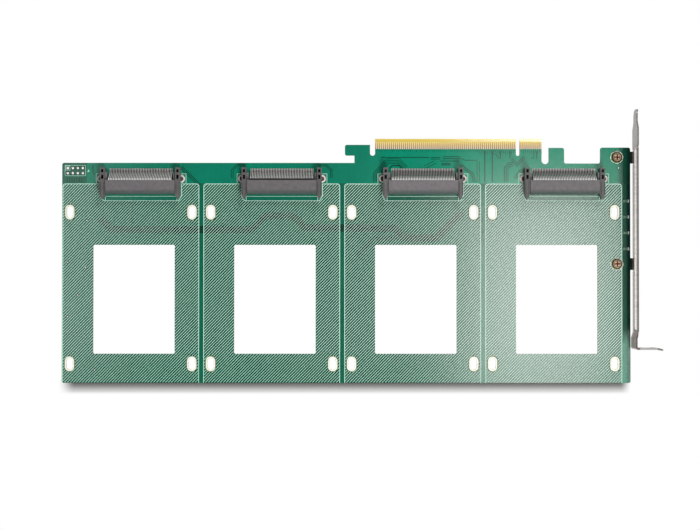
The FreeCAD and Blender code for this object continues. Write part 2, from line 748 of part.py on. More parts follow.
def make_screw(label, foot):
    """Pan-head screw with a cross recess, from the board's face into the bracket's ear."""
    body = new_body(label, f"{CARD_X} + {SCREW_X}", f"{CARD_Y} + {foot}", BOARD_FRONT)
    profile = new_sketch(body, "profile", "XZ_Plane")
    end = "(screw_end_margin - board_thickness - sheet_metal)"
    add_outline(profile, [
        ("0", end),
        ("screw_radius", end),
        ("screw_radius", "0"),
        ("screw_head_radius", "0"),
        ("screw_head_radius", "head_rim_height"),
        ("screw_head_radius - head_crown_inset", "screw_head_height"),
        ("0", "screw_head_height"),
    ])
    turned = body.newObject("PartDesign::Revolution", f"{label}_turned")
    turned.Profile = profile
    turned.ReferenceAxis = (plane_of(body, "Z_Axis"), [""])
    turned.Angle = 360
    finished(body, turned, "turned")

    cross = new_sketch(body, "cross", "XY_Plane", "screw_head_height")
    long, short = "recess_length / 2", "recess_width / 2"
    add_outline(cross, [
        (short, short), (short, long), (f"-{short}", long), (f"-{short}", short),
        (f"-{long}", short), (f"-{long}", f"-{short}"), (f"-{short}", f"-{short}"), (f"-{short}", f"-{long}"),
        (short, f"-{long}"), (short, f"-{short}"), (long, f"-{short}"), (long, short),
    ])
    cut(body, cross, "cross", "recess_depth")
    return body


def make_chip_row(label, place, box, axis, pitch, count):
    """Row of equal small chips; place is the row's first centre and box the chip's size."""
    body = new_body(label, *place)
    length, width, height = box
    sketch = new_sketch(body, "chip")
    add_box(sketch, f"-{length} / 2", f"-{width} / 2", f"{length} / 2", f"{width} / 2")
    chip = pad(body, sketch, height, "chip")
    repeat(body, [chip], "row", axis, pitch, count)
    return body


def make_small_parts():
    """Indicator lamps on the front; clock chip, resistors and capacitors on the back."""
    light_x = f"{CARD_X} + {BOARD_LENGTH} - light_setback"
    light_y = f"{CARD_Y} + {LOWER_SCREW} + ear_width / 2 + light_margin"
    lamp = ("light_length", "light_width", "light_height")
    resistor = ("resistor_length", "resistor_width", "resistor_height")
    upright = ("resistor_width", "resistor_length", "resistor_height")
    resistor_level = f"{BOARD_BACK} - resistor_height"

    chip_x = f"{CARD_X} + {TONGUE_LEFT} + clock_chip_inset"
    chip_y = f"{CARD_Y} + board_depth - clock_chip_drop"
    chip = new_body("clock_buffer_chip", chip_x, chip_y, f"{BOARD_BACK} - clock_chip_height")
    outline = new_sketch(chip, "outline")
    side = "clock_chip_side"
    add_box(outline, "0", "0", side, side)
    block = pad(chip, outline, "clock_chip_height", "block")
    corners = [(value(x), value(y), None) for x in ("0", side) for y in ("0", side)]
    bevelled(chip, block, edges_at(block, ALONG_Z, *corners), "clock_chip_edge", "corners")

    row_start = f"{chip_x} + {side} / 2 - (clock_resistor_count - 1) * clock_resistor_pitch / 2"
    row_place = (row_start, f"{chip_y} - clock_resistor_drop", resistor_level)

    capacitors = new_body("bypass_capacitors", bay_x(0), f"{CARD_Y} + {CONNECTOR_FOOT} - capacitor_gap",
                          f"{BOARD_BACK} - capacitor_height")
    outline = new_sketch(capacitors, "pair")
    for middle in ("capacitor_spread / 2", "(-capacitor_spread / 2)"):
        add_box(outline, f"{middle} - capacitor_length / 2", "-capacitor_width / 2",
                f"{middle} + capacitor_length / 2", "capacitor_width / 2")
    pair = pad(capacitors, outline, "capacitor_height", "pair")
    repeat(capacitors, [pair], "bays", "X_Axis", BAY_PITCH, "bay_count")
    return [
        chip,
        capacitors,
        make_chip_row("status_lights", (light_x, light_y, BOARD_FRONT), lamp,
                      "Y_Axis", "light_pitch", "light_count"),
        make_chip_row("light_resistors", (light_x, light_y, resistor_level), resistor,
                      "Y_Axis", "light_pitch", "light_count"),
        make_chip_row("clock_resistors", row_place, upright,
                      "X_Axis", "clock_resistor_pitch", "clock_resistor_count"),
    ]


def check_and_write(pieces):
    """Stop on any failed object or bad shape, then write one file for each piece."""
    doc.recompute()
    for item in doc.Objects:
        if "Invalid" in item.State or "Error" in item.State:
            raise RuntimeError(f"{item.Label} failed: {item.State}")
    for piece in pieces:
        if piece.Shape.isNull() or not piece.Shape.isValid() or piece.Shape.Volume <= 0:
            raise RuntimeError(f"{piece.Label} has no valid shape")
    os.makedirs("parts", exist_ok=True)
    for piece in pieces:
        piece.Shape.exportStep(os.path.join("parts", f"{piece.Label}.step"))
        print(f"{piece.Label}: {len(piece.Shape.Solids)} solids, {piece.Shape.Volume:.1f} mm3")


pieces = [
    make_board(),
    make_edge_contacts("edge_contacts_front", BOARD_FRONT),
    make_edge_contacts("edge_contacts_back", f"{BOARD_BACK} - contact_thickness"),
]
for bay in range(int(value("bay_count"))):
    pieces += [make_housing(bay), make_leads(bay), make_locks(bay)]
pieces.append(make_bracket())
pieces.append(make_screw("bracket_screw_upper", UPPER_SCREW))
pieces.append(make_screw("bracket_screw_lower", LOWER_SCREW))
pieces += make_small_parts()
check_and_write(pieces)
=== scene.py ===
# Looks of the drive adapter card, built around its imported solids.
# Flat detail is drawn in board millimetres: x from the board's left edge, y from its lower edge,
# and z from the component side upward. Sizes without a unit are in those millimetres.
import json
import math

import bmesh
import bpy
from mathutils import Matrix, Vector


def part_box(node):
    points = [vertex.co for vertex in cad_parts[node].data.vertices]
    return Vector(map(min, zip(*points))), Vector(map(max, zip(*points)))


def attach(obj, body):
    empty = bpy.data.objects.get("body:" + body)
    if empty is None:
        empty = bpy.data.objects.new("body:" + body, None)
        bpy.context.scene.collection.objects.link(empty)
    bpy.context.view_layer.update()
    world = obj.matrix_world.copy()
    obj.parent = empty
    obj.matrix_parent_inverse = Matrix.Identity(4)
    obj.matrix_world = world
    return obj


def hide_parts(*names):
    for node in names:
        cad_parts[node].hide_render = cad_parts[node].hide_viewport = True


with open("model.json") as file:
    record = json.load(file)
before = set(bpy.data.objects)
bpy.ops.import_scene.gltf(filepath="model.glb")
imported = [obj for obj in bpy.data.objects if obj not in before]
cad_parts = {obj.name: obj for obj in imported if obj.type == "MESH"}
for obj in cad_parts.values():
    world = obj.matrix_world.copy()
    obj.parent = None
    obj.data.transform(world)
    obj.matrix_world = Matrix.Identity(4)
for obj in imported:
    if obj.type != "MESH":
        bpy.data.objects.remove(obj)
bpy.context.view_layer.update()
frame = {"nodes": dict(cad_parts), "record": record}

MM = 0.001
X, Y, Z = range(3)
board_low, board_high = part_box("circuit_board")
BOARD_LENGTH = (board_high.x - board_low.x) / MM
BOARD_THICKNESS = (board_high.z - board_low.z) / MM
FRONT = board_high.z
ORIGIN = (board_low.x, board_low.y, FRONT)

# Drive bays with their slots, window and printed cell
BAY_COUNT = 4
SLOT_MARGIN = 3.89
SLOT_SPAN = 61.72
BAY_PITCH = 71.2
SLOT_ROWS = (9.6, 86.2)
SLOT_RADIUS = 1.6
SLOT_REACH = 1.4
RING_RADIUS = 2.35
RIM_RADIUS = 2.7
WINDOW_SHIFT = 1.6
WINDOW_SIZE = (41.2, 55.0)
WINDOW_FOOT = 14.7
CELL_WIDTH = 68.7
CELL_HEAD = 100.5
NOTCH_WIDTH = 40.9
NOTCH_FOOT = 92.0
NOTCH_CHAMFER = (1.5, 2.6)

# Drive connectors
CONNECTOR_SHIFT = 5.15
CONNECTOR_FOOT = 95.2
BLOCK_HALF = 17.5
LEAD_SLOPE = (103.6, 107.9)

# Edge contacts, header and places with a tone of their own, some of them painted light and shade; the
# flange's painted shadow has its left side and then the stretch over which it fades in, upward
TONGUE_LEFT = 158.15
TONGUE_RIGHT = 242.3
BEVEL_HEEL = 121.9
BOARD_HEAD = 123.4
CONTACT_FOOT = 117.9
CONTACT_PITCH = 1.0
CONTACT_ROWS = ((159.1, 71), (232.2, 11))
CONTACT_CORE = 0.34
MASK_LAP = 0.42
POUR_FOOT = 100.8
FLANGE_SHADE = (283.2, 19.0, 27.5)
STRIP_LEFT = 281.7
CORNER_SHADE = (280.4, 286.5)
CALM_ZONE = (158.0, 206.0)
HEADER_X = (2.8, 5.34, 7.88, 10.42)
HEADER_Y = (105.95, 108.49)

# Layers above the board's face, the least step between two prints, how far a plated ring dips
# into the board, and how far its wall reaches past the hole's rim and inward
TRACE_TOP = 0.02
PAD_TOP = 0.03
PLATE_TOP = 0.04
PRINT_TOP = 0.045
LAYER = 0.005
SUNK = 0.01
BARREL_OUT = 0.01
BARREL_IN = 0.02


def bay_middle(bay):
    """Middle of a drive bay along the board."""
    return SLOT_MARGIN + SLOT_SPAN / 2 + bay * BAY_PITCH


def placed(x, y, z):
    """Turn board millimetres into the frame's metres."""
    return Vector((board_low.x + x * MM, board_low.y + y * MM, FRONT + z * MM))


def in_board(spot):
    """Turn a place in the frame into board millimetres."""
    return [(value - start) / MM for value, start in zip(spot, ORIGIN)]


def board_box(box):
    """Turn a box of the frame into board millimetres: left, foot, right, head, low, high."""
    (left, foot, low), (right, head, high) = (in_board(corner) for corner in box)
    return left, foot, right, head, low, high


def bay_box(bay, name="drive_connector_housing"):
    """Box of one bay's node in board millimetres."""
    return board_box(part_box(f"{name}_{bay + 1}"))


def rectangle(left, foot, right, head):
    """Corners of an upright rectangle, counterclockwise."""
    return [(left, foot), (right, foot), (right, head), (left, head)]


def square(x, y, half):
    return rectangle(x - half, y - half, x + half, y + half)


def circle(x, y, radius, count=32):
    """Points of a circle, counterclockwise."""
    turns = [2 * math.pi * i / count for i in range(count)]
    return [(x + radius * math.cos(turn), y + radius * math.sin(turn)) for turn in turns]


def square_like_circle(x, y, half, count=32):
    """Square outline with as many points as a circle, for a ring with a round hole."""
    points = []
    for dx, dy in circle(0.0, 0.0, 1.0, count):
        reach = half / max(abs(dx), abs(dy))
        points.append((x + dx * reach, y + dy * reach))
    return points


def stadium(x, y, radius, reach, count=32):
    """Outline of an upright round-ended slot, counterclockwise."""
    half = count // 2
    head = [math.pi * i / (half - 1) for i in range(half)]
    cap = [(x + radius * math.cos(turn), y + reach + radius * math.sin(turn)) for turn in head]
    cup = [(x - radius * math.cos(turn), y - reach - radius * math.sin(turn)) for turn in head]
    return cap + cup


def shifted(path, distance):
    """Open path moved sideways, to the left of its run, with mitred corners."""
    moved = []
    for i, (x, y) in enumerate(path):
        before = Vector(path[max(i - 1, 0)])
        after = Vector(path[min(i + 1, len(path) - 1)])
        here = Vector((x, y))
        into = (here - before).normalized() if i else (after - here).normalized()
        out = (after - here).normalized() if i < len(path) - 1 else into
        across = Vector((-into.y - out.y, into.x + out.x)).normalized()
        reach = distance / max(across.dot(Vector((-into.y, into.x))), 0.3)
        moved.append(tuple(here + across * reach))
    return moved


class Shape:
    """Closed solids drawn in board millimetres and collected into one mesh."""

    def __init__(self):
        self.points = []
        self.faces = []

    def loft(self, rows, looped=False):
        """Skin rows of equally many points, joined into a loop or closed by a face at both ends."""
        start, count, total = len(self.points), len(rows[0]), len(rows) * len(rows[0])
        self.points += [placed(*point) for row in rows for point in row]
        faces = [] if looped else [range(count), range(total - count, total)[::-1]]
        for row in range(0, total if looped else total - count, count):
            for i in range(count):
                a, b = row + i, row + (i + 1) % count
                faces.append([a, b, (b + count) % total, (a + count) % total])
        self.faces += [[start + corner for corner in face] for face in faces]

    def prism(self, outline, low, high):
        """Raise a flat outline, drawn counterclockwise, between two heights."""
        self.loft([[(*point, level) for point in outline] for level in (low, high)])

    def box(self, left, foot, right, head, low, high):
        self.prism(rectangle(left, foot, right, head), low, high)

    def post(self, x, half, foot, head, low, high):
        """Box of equal reach to both sides of x."""
        self.box(x - half, foot, x + half, head, low, high)

    def ring(self, outer, inner, low, high):
        """Raise the band between two outlines with equal numbers of points."""
        rows = [(outer, low), (outer, high), (inner, high), (inner, low)]
        self.loft([[(*point, level) for point in outline] for outline, level in rows], looped=True)

    def plated(self, front, back, barrel, hole):
        """Ring on both faces of the board, joined by the plated wall of the hole."""
        under = -BOARD_THICKNESS - PLATE_TOP
        self.ring(front, hole, -SUNK, PLATE_TOP)
        self.ring(back, hole, under, -BOARD_THICKNESS + SUNK)
        self.ring(barrel, hole, under, PLATE_TOP)

    def ribbon(self, path, width, low, high):
        """Raise a line of constant width along an open path with mitred corners."""
        sides = zip(shifted(path, width / 2), shifted(path, -width / 2))
        self.loft([[(*a, low), (*a, high), (*b, high), (*b, low)] for a, b in sides])

    def piece(self, name, material, slot, smooth=False):
        """Make the mesh object, give it its finish and let it ride on the card."""
        mesh = bpy.data.meshes.new(name)
        mesh.from_pydata(self.points, [], self.faces)
        shell = bmesh.new()
        shell.from_mesh(mesh)
        bmesh.ops.recalc_face_normals(shell, faces=shell.faces)
        shell.to_mesh(mesh)
        shell.free()
        mesh.validate()
        if smooth:
            mesh.shade_smooth()
            mesh.set_sharp_from_angle(angle=math.radians(40))
        item = bpy.data.objects.new(name, mesh)
        bpy.context.scene.collection.objects.link(item)
        mesh.materials.append(material)
        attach(item, "root")
        return item


def srgb(red, green, blue):
    """Linear colour of an eight-bit screen colour."""
    shares = [c / 255 for c in (red, green, blue)]
    return tuple(c / 12.92 if c <= 0.04045 else ((c + 0.055) / 1.055) ** 2.4 for c in shares)


class Nodes:
    """Short way to write a node tree that reads one kind of coordinate."""

    def __init__(self, tree, coordinate="Object"):
        self.tree = tree
        self.place = self.node("ShaderNodeTexCoord").outputs[coordinate]

    def node(self, kind, **values):
        """Add a node and set its properties or inputs by name, with _ for a blank."""
        made = self.tree.nodes.new(kind)
        for key, entry in values.items():
            if hasattr(made, key):
                setattr(made, key, entry)
            else:
                self.feed(made.inputs[key.replace("_", " ")], entry)
        return made

    def feed(self, socket, entry):
        """Link a socket to another one, or give it a value."""
        if isinstance(entry, bpy.types.NodeSocket):
            self.tree.links.new(entry, socket)
        elif isinstance(entry, tuple) and len(entry) == 3 and socket.type == "RGBA":
            socket.default_value = (*entry, 1.0)
        else:
            socket.default_value = entry

    def part(self, axis):
        """One coordinate of the place."""
        return self.node("ShaderNodeSeparateXYZ", Vector=self.place).outputs[axis]

    def noise(self, scale, detail=3.0, roughness=0.55, stretch=(1.0, 1.0, 1.0)):
        mapping = self.node("ShaderNodeMapping", Vector=self.place, Scale=stretch)
        texture = self.node("ShaderNodeTexNoise", Vector=mapping.outputs[0], Scale=scale, Detail=detail)
        texture.inputs["Roughness"].default_value = roughness
        return texture.outputs["Fac"]

    def ramp(self, fac, *stops):
        """Colour ramp from pairs of a position and a colour or grey level."""
        made = self.node("ShaderNodeValToRGB")
        self.feed(made.inputs[0], fac)
        elements = made.color_ramp.elements
        elements[0].position, elements[1].position = stops[0][0], stops[-1][0]
        for position, _ in stops[1:-1]:
            elements.new(position)
        for element, (_, colour) in zip(elements, stops):
            element.color = (*colour, 1.0) if isinstance(colour, tuple) else (colour, colour, colour, 1.0)
        return made.outputs[0]

    def mix(self, fac, first, second, mode="MIX"):
        made = self.node("ShaderNodeMix", data_type="RGBA", blend_type=mode)
        self.feed(made.inputs["Factor"], fac)
        self.feed(made.inputs[6], first)
        self.feed(made.inputs[7], second)
        return made.outputs[2]

    def tint(self, face, tone, zone=1.0):
        """Multiply a colour by a tone, everywhere or in a zone."""
        return self.mix(zone, face, tone, "MULTIPLY")

    def math(self, operation, first, second=0.0):
        made = self.node("ShaderNodeMath", operation=operation)
        self.feed(made.inputs[0], first)
        self.feed(made.inputs[1], second)
        return made.outputs[0]

    def times(self, first, second):
        return self.math("MULTIPLY", first, second)

    def less(self, first, second):
        return self.math("SUBTRACT", first, second)

    def more(self, fac, limit):
        """One where a value is over a limit, else zero."""
        return self.math("GREATER_THAN", fac, limit)

    def above(self, axis, limit):
        """One where a board coordinate lies beyond a limit, else zero."""
        return self.more(self.part(axis), ORIGIN[axis] + limit * MM)

    def below(self, axis, limit):
        """One where a board coordinate lies short of a limit, else zero."""
        return self.math("LESS_THAN", self.part(axis), ORIGIN[axis] + limit * MM)

    def run(self, axis, start, end, kind="LINEAR"):
        """Rise from zero to one between two board coordinates."""
        made = self.node("ShaderNodeMapRange", interpolation_type=kind, Value=self.part(axis),
                         From_Min=ORIGIN[axis] + start * MM, From_Max=ORIGIN[axis] + end * MM)
        return made.outputs[0]

    def along(self, axis, start, end, *stops):
        """Colour ramp between two board coordinates."""
        return self.ramp(self.run(axis, start, end), *stops)

    def repeat(self, first, pitch):
        """Distance along the board, in metres, from the nearest of spots at a constant pitch."""
        start = self.less(self.part(X), board_low.x + first * MM)
        return self.math("PINGPONG", start, pitch / 2 * MM)

    def from_bay(self, shift):
        """Distance in metres from the nearest spot that lies by a shift beside a bay's middle."""
        return self.repeat(bay_middle(0) + shift, BAY_PITCH)

    def upward(self):
        """How far the surface faces up, from -1 to 1."""
        normal = self.node("ShaderNodeNewGeometry").outputs["True Normal"]
        return self.node("ShaderNodeSeparateXYZ", Vector=normal).outputs[2]

    def seen(self):
        """One for rays from the camera, and for rays that gloss or glass sends on, else zero."""
        ray = self.node("ShaderNodeLightPath").outputs
        sent = self.math("MAXIMUM", ray["Is Glossy Ray"], ray["Is Transmission Ray"])
        return self.math("MAXIMUM", ray["Is Camera Ray"], sent)


class Finish(Nodes):
    """A material with its node tree and its one shader."""

    def __init__(self, name):
        self.material = bpy.data.materials.new(name)
        self.material.use_nodes = True
        super().__init__(self.material.node_tree)
        self.shader = self.tree.nodes["Principled BSDF"]

    def set(self, **values):
        for key, entry in values.items():
            self.feed(self.shader.inputs[key.replace("_", " ")], entry)

    def rough(self, fac, spread, middle):
        """Roughness that varies with a pattern round a middle value."""
        self.set(Roughness=self.math("ADD", self.times(fac, spread), middle - spread / 2))

    def bump(self, height, strength, distance):
        made = self.node("ShaderNodeBump", Strength=strength, Distance=distance)
        self.feed(made.inputs["Height"], height)
        self.set(Normal=made.outputs[0])


def mask_material(name, poured, plain, ground):
    """Glossy solder mask over poured copper or plain board, with bare laminate on the tongues.

    ground is the tone under the hatching. Painted light and shade: the upper strip's tone shifts along
    the board as painted light, the clear space round the left two connectors is painted lighter, the
    board under the bracket's flange and the corner above it carry a painted shadow, with weaker gloss
    under the flange, and the mask round the header is painted darker as painted shade.
    """
    n = Finish(name)
    cloud = n.ramp(n.noise(40.0, 4.0), (0.3, 0.88), (0.7, 1.06))
    weave = n.ramp(n.noise(1100.0, 2.0, 0.6, (1.0, 0.3, 1.0)), (0.3, 0.93), (0.7, 1.05))
    upper = n.above(Y, POUR_FOOT)
    # Painted shadow under the bracket's flange, fading in upward; below it the strip by the right edge keeps
    # the poured tone
    shaded = n.run(Y, *FLANGE_SHADE[1:])
    under = n.times(n.above(X, FLANGE_SHADE[0]), shaded)
    strip = n.times(n.above(X, STRIP_LEFT), n.less(1.0, shaded))
    tone = n.mix(n.math("MAXIMUM", upper, strip), plain, poured)
    face = n.tint(n.tint(tone, cloud), weave)

    beside = n.math("LESS_THAN", n.from_bay(CONNECTOR_SHIFT), NOTCH_WIDTH / 2 * MM)
    clear = n.times(beside, n.above(Y, NOTCH_FOOT))
    hatched = n.math("LESS_THAN", n.from_bay(0.0), CELL_WIDTH / 2 * MM)
    hatched = n.times(hatched, n.less(1.0, n.math("MAXIMUM", clear, n.above(Y, CELL_HEAD))))
    face = n.tint(face, (ground, ground, ground), hatched)
    # Painted light: the clear space round the left two connectors is painted lighter
    painted_light_by_connectors = n.times(clear, n.below(X, BOARD_LENGTH / 2))
    face = n.tint(face, (1.7, 1.5, 1.55), n.times(painted_light_by_connectors, n.less(1.0, upper)))
    # Painted light: the upper strip's tone shifts along the board
    face = n.tint(face, n.along(
        X, 0.0, BOARD_LENGTH, (0.0, 1.0), (0.53, 1.0), (0.57, (0.6, 1.22, 1.2)),
        (0.8, (0.9, 1.3, 1.25)), (0.97, (1.3, 1.1, 1.05))), upper)
    # Painted shade round the header
    header = n.times(n.above(Y, CELL_HEAD), n.below(X, HEADER_X[-1] + 2.0))
    face = n.tint(face, (0.5, 0.56, 0.5), header)

    inside = n.times(n.above(X, TONGUE_LEFT), n.below(X, TONGUE_RIGHT))
    laminate = n.along(Y, CONTACT_FOOT, BEVEL_HEEL, (0.0, srgb(172, 108, 46)),
                       (0.5, srgb(214, 146, 58)), (1.0, srgb(246, 226, 140)))
    face = n.mix(n.times(inside, n.above(Y, CONTACT_FOOT + MASK_LAP)), face, laminate)
    bevel = n.along(Y, BEVEL_HEEL, BOARD_HEAD, (0.0, srgb(222, 192, 66)), (1.0, srgb(246, 222, 110)))
    face = n.mix(n.times(inside, n.above(Y, BEVEL_HEEL)), face, bevel)

    # Painted shade: darker towards the corner above the flange, and darker under the flange
    corner = n.along(X, *CORNER_SHADE, (0.0, 1.0), (0.35, 0.38), (1.0, 0.24))
    face = n.tint(face, n.mix(upper, n.mix(under, (1.0, 1.0, 1.0), (0.75, 0.68, 0.68)), corner))
    flat = n.more(n.math("ABSOLUTE", n.upward()), 0.6)
    grain = n.noise(2500.0, 2.0, 0.5, (1.0, 1.0, 0.1))
    fibre = n.ramp(grain, (0.3, srgb(120, 135, 85)), (0.7, srgb(175, 180, 130)))
    n.set(Base_Color=n.mix(flat, fibre, face))
    n.set(Roughness=n.less(0.72, n.times(flat, 0.56)))
    calm = n.along(X, *CALM_ZONE, (0.0, 0.0), (0.1, 1.0), (0.65, 1.0), (1.0, 0.0))
    # Weaker gloss under the flange, beneath its painted shadow
    level = n.less(0.5, n.times(under, 0.42))
    n.set(IOR=1.8, Specular_IOR_Level=n.less(level, n.times(n.times(calm, upper), 0.3)))
    n.bump(n.noise(350.0, 2.0), 0.04, 0.0003)
    return n.material


def ink_material():
    """White print, a little darker towards the card's left side, a painted shade, and towards its lower edge.
    """
    n = Finish("white_ink")
    face = n.ramp(n.noise(900.0, 2.0), (0.3, srgb(200, 242, 222)), (0.7, srgb(216, 252, 234)))
    # Painted shade on the print towards the card's left side
    left_painted_shade = (0.84, 0.96, 0.92)
    side = n.along(X, 0.0, BOARD_LENGTH, (0.0, left_painted_shade), (0.25, left_painted_shade), (0.6, 1.0), (1.0, 1.0))
    foot = n.along(Y, 8.0, 18.0, (0.0, (0.82, 0.9, 0.86)), (1.0, 1.0))
    n.set(Base_Color=n.tint(n.tint(face, side), foot), Roughness=0.55)
    return n.material


def gold_material(name, light, dark, roughness, metallic):
    """Gold plating; the edge contacts carry a painted sheen, paler at their foot, and painted shade on their
    darker sides.
    """
    n = Finish(name)
    patch = n.noise(240.0, 3.0)
    face = n.ramp(patch, (0.35, dark), (0.7, light))
    # Painted sheen along the contacts, dark at their very foot, and painted shade on their sides
    end = srgb(150, 140, 110)
    painted_light_ramp = n.along(Y, CONTACT_FOOT - 0.05, BEVEL_HEEL, (0.0, end), (0.05, end),
                   (0.1, srgb(255, 255, 240)), (0.6, srgb(255, 246, 182)), (1.0, srgb(255, 226, 124)))
    beside = n.more(n.repeat(CONTACT_ROWS[0][0], CONTACT_PITCH), CONTACT_CORE * MM)
    fade = n.along(Y, CONTACT_FOOT, BEVEL_HEEL, (0.0, 1.0), (0.6, 0.85), (1.0, 0.4))
    tone = n.mix(n.times(fade, beside), painted_light_ramp, srgb(110, 60, 30))
    face = n.mix(n.times(n.above(Y, CONTACT_FOOT - 0.3), 0.95), face, tone)
    n.set(Base_Color=face, Metallic=metallic)
    n.rough(patch, 0.12, roughness)
    n.bump(n.noise(1500.0, 2.0), 0.08, 0.0002)
    return n.material


def metal_material(name, light, dark, roughness, metallic, slope=0.0):
    """Tin or solder; with a slope tone, the leads carry painted shade along their bend, lighter on the
    board's left half.
    """
    n = Finish(name)
    streak = n.noise(600.0, 3.0, 0.6)
    face = n.ramp(streak, (0.3, dark), (0.7, light))
    if slope:
        # Painted shade along the leads' bend, deeper on the board's right half
        shade = n.along(Y, *LEAD_SLOPE, (0.0, 1.0), (0.2, slope), (0.75, slope), (1.0, 1.0))
        painted_light_ramp = n.along(Y, *LEAD_SLOPE, (0.0, 1.0), (0.3, 1.0), (0.85, 0.8), (1.0, 1.0))
        face = n.tint(face, n.mix(n.above(X, BOARD_LENGTH / 2), painted_light_ramp, shade))
    n.set(Base_Color=face, Metallic=metallic)
    n.rough(streak, 0.16, roughness)
    n.bump(streak, 0.05, 0.0002)
    return n.material


# Zones of the slot bracket's painted light and shade: reach from its head or foot, and past the board's right
# edge
SHEET_EDGE = 1.2
TONGUE_REACH = 20.0
FOOT_REACH = 9.5
FLANGE_BAND = (-0.7, 1.9)
TONGUE_BAND = (-0.5, 2.5)
JOG_SIDE = 2.6


def steel_material(name):
    """Nickel-plated sheet with painted light and shade: highlights and shade banded along the flange's fold,
    ears painted dark as painted shade, and own painted tones at both ends.
    """
    n = Finish(name)
    streak = n.noise(60.0, 3.0, 0.6, (1.0, 12.0, 1.0))
    plate = n.ramp(streak, (0.3, srgb(188, 184, 181)), (0.7, srgb(216, 211, 207)))
    _, low_end, _, high_end, back, top = board_box(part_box("slot_bracket"))
    start, end = (BOARD_LENGTH + reach for reach in FLANGE_BAND)
    # Painted highlights and shade in bands across the flange's fold
    band = n.along(X, start, end, (0.0, 0.9), (0.1, 0.85), (0.2, 0.4), (0.33, 1.3), (0.5, 1.15),
                   (0.63, 0.85), (0.74, 0.36), (0.9, 0.38), (1.0, 0.36))
    flange = n.times(n.above(Z, top - SHEET_EDGE), n.below(Y, high_end - TONGUE_REACH))
    flange = n.times(flange, n.above(Y, low_end + FOOT_REACH))
    # Ears painted dark, a painted shade
    shaded_ear = n.times(n.below(Z, back + SHEET_EDGE), n.below(X, BOARD_LENGTH + SHEET_EDGE))
    tone = n.mix(shaded_ear, n.mix(flange, (1.0, 1.0, 1.0), band), (0.16, 0.16, 0.16))
    # Painted light and shade on the upper end and its tongue
    plate = n.tint(plate, (0.74, 0.72, 0.72), n.above(Y, high_end - TONGUE_REACH - 1.0))
    start, end = (BOARD_LENGTH + reach for reach in TONGUE_BAND)
    tongue = n.along(X, start, end, (0.0, 1.3), (0.55, 1.3), (0.65, 0.6), (1.0, 0.6))
    plate = n.tint(plate, tongue, n.above(Y, high_end - TONGUE_REACH + 1.0))
    # At the foot, painted light and shade that differ between faces that look up and the rest
    cut = n.more(n.upward(), 0.9)
    foot = n.below(Y, low_end + FOOT_REACH)
    jog_light_and_shade = n.mix(cut, (1.4, 1.1, 1.15), (0.16, 0.14, 0.14))
    tab_light_and_shade = n.mix(cut, (0.3, 0.3, 0.3), (0.72, 0.72, 0.72))
    plate = n.tint(plate, n.mix(n.below(X, BOARD_LENGTH + JOG_SIDE), tab_light_and_shade, jog_light_and_shade), foot)
    n.set(Base_Color=n.tint(plate, tone), Metallic=n.less(0.7, n.times(foot, 0.6)))
    n.rough(streak, 0.16, 0.38)
    n.bump(streak, 0.05, 0.0002)
    return n.material


def plastic_material(name, light, dark, roughness):
    """Moulded or glazed surface with a fine grain."""
    n = Finish(name)
    n.set(Base_Color=n.ramp(n.noise(500.0, 3.0), (0.3, dark), (0.7, light)))
    n.rough(n.noise(1200.0, 2.0), 0.12, roughness)
    n.bump(n.noise(2600.0, 2.0), 0.18, 0.0002)
    return n.material


# Painted light on the housings along the board, bay by bay, and how far in their front edge the painted shade
# reaches
BAY_PAINTED_LIGHT = ((0.0, 0.92), (0.25, 0.92), (0.3, 0.83), (0.5, 0.83),
             (0.56, 1.03), (0.75, 1.03), (0.8, 0.94), (1.0, 0.94))
FRONT_SHADE = 2.4


def housing_material(name):
    """Grey moulded plastic: darker arms, the block's front edge dark with a greenish painted shade, and
    painted light that differs from bay to bay.
    """
    n = Finish(name)
    face = n.ramp(n.noise(500.0, 3.0), (0.3, srgb(106, 102, 105)), (0.7, srgb(121, 117, 119)))
    arm = n.more(n.from_bay(CONNECTOR_SHIFT), BLOCK_HALF * MM)
    # Greenish painted shade along the block's front edge
    front = n.along(Y, CONNECTOR_FOOT, CONNECTOR_FOOT + FRONT_SHADE, (0.0, (0.3, 0.52, 0.44)),
                    (0.4, (0.5, 0.62, 0.58)), (1.0, (1.0, 1.0, 1.0)))
    shade = n.mix(arm, front, (0.72, 0.74, 0.70))
    # Painted light that differs from bay to bay
    shade = n.tint(shade, n.along(X, 0.0, BOARD_LENGTH, *BAY_PAINTED_LIGHT))
    n.set(Base_Color=n.tint(face, shade))
    n.rough(n.noise(1200.0, 2.0), 0.12, 0.46)
    n.bump(n.noise(2600.0, 2.0), 0.18, 0.0002)
    return n.material


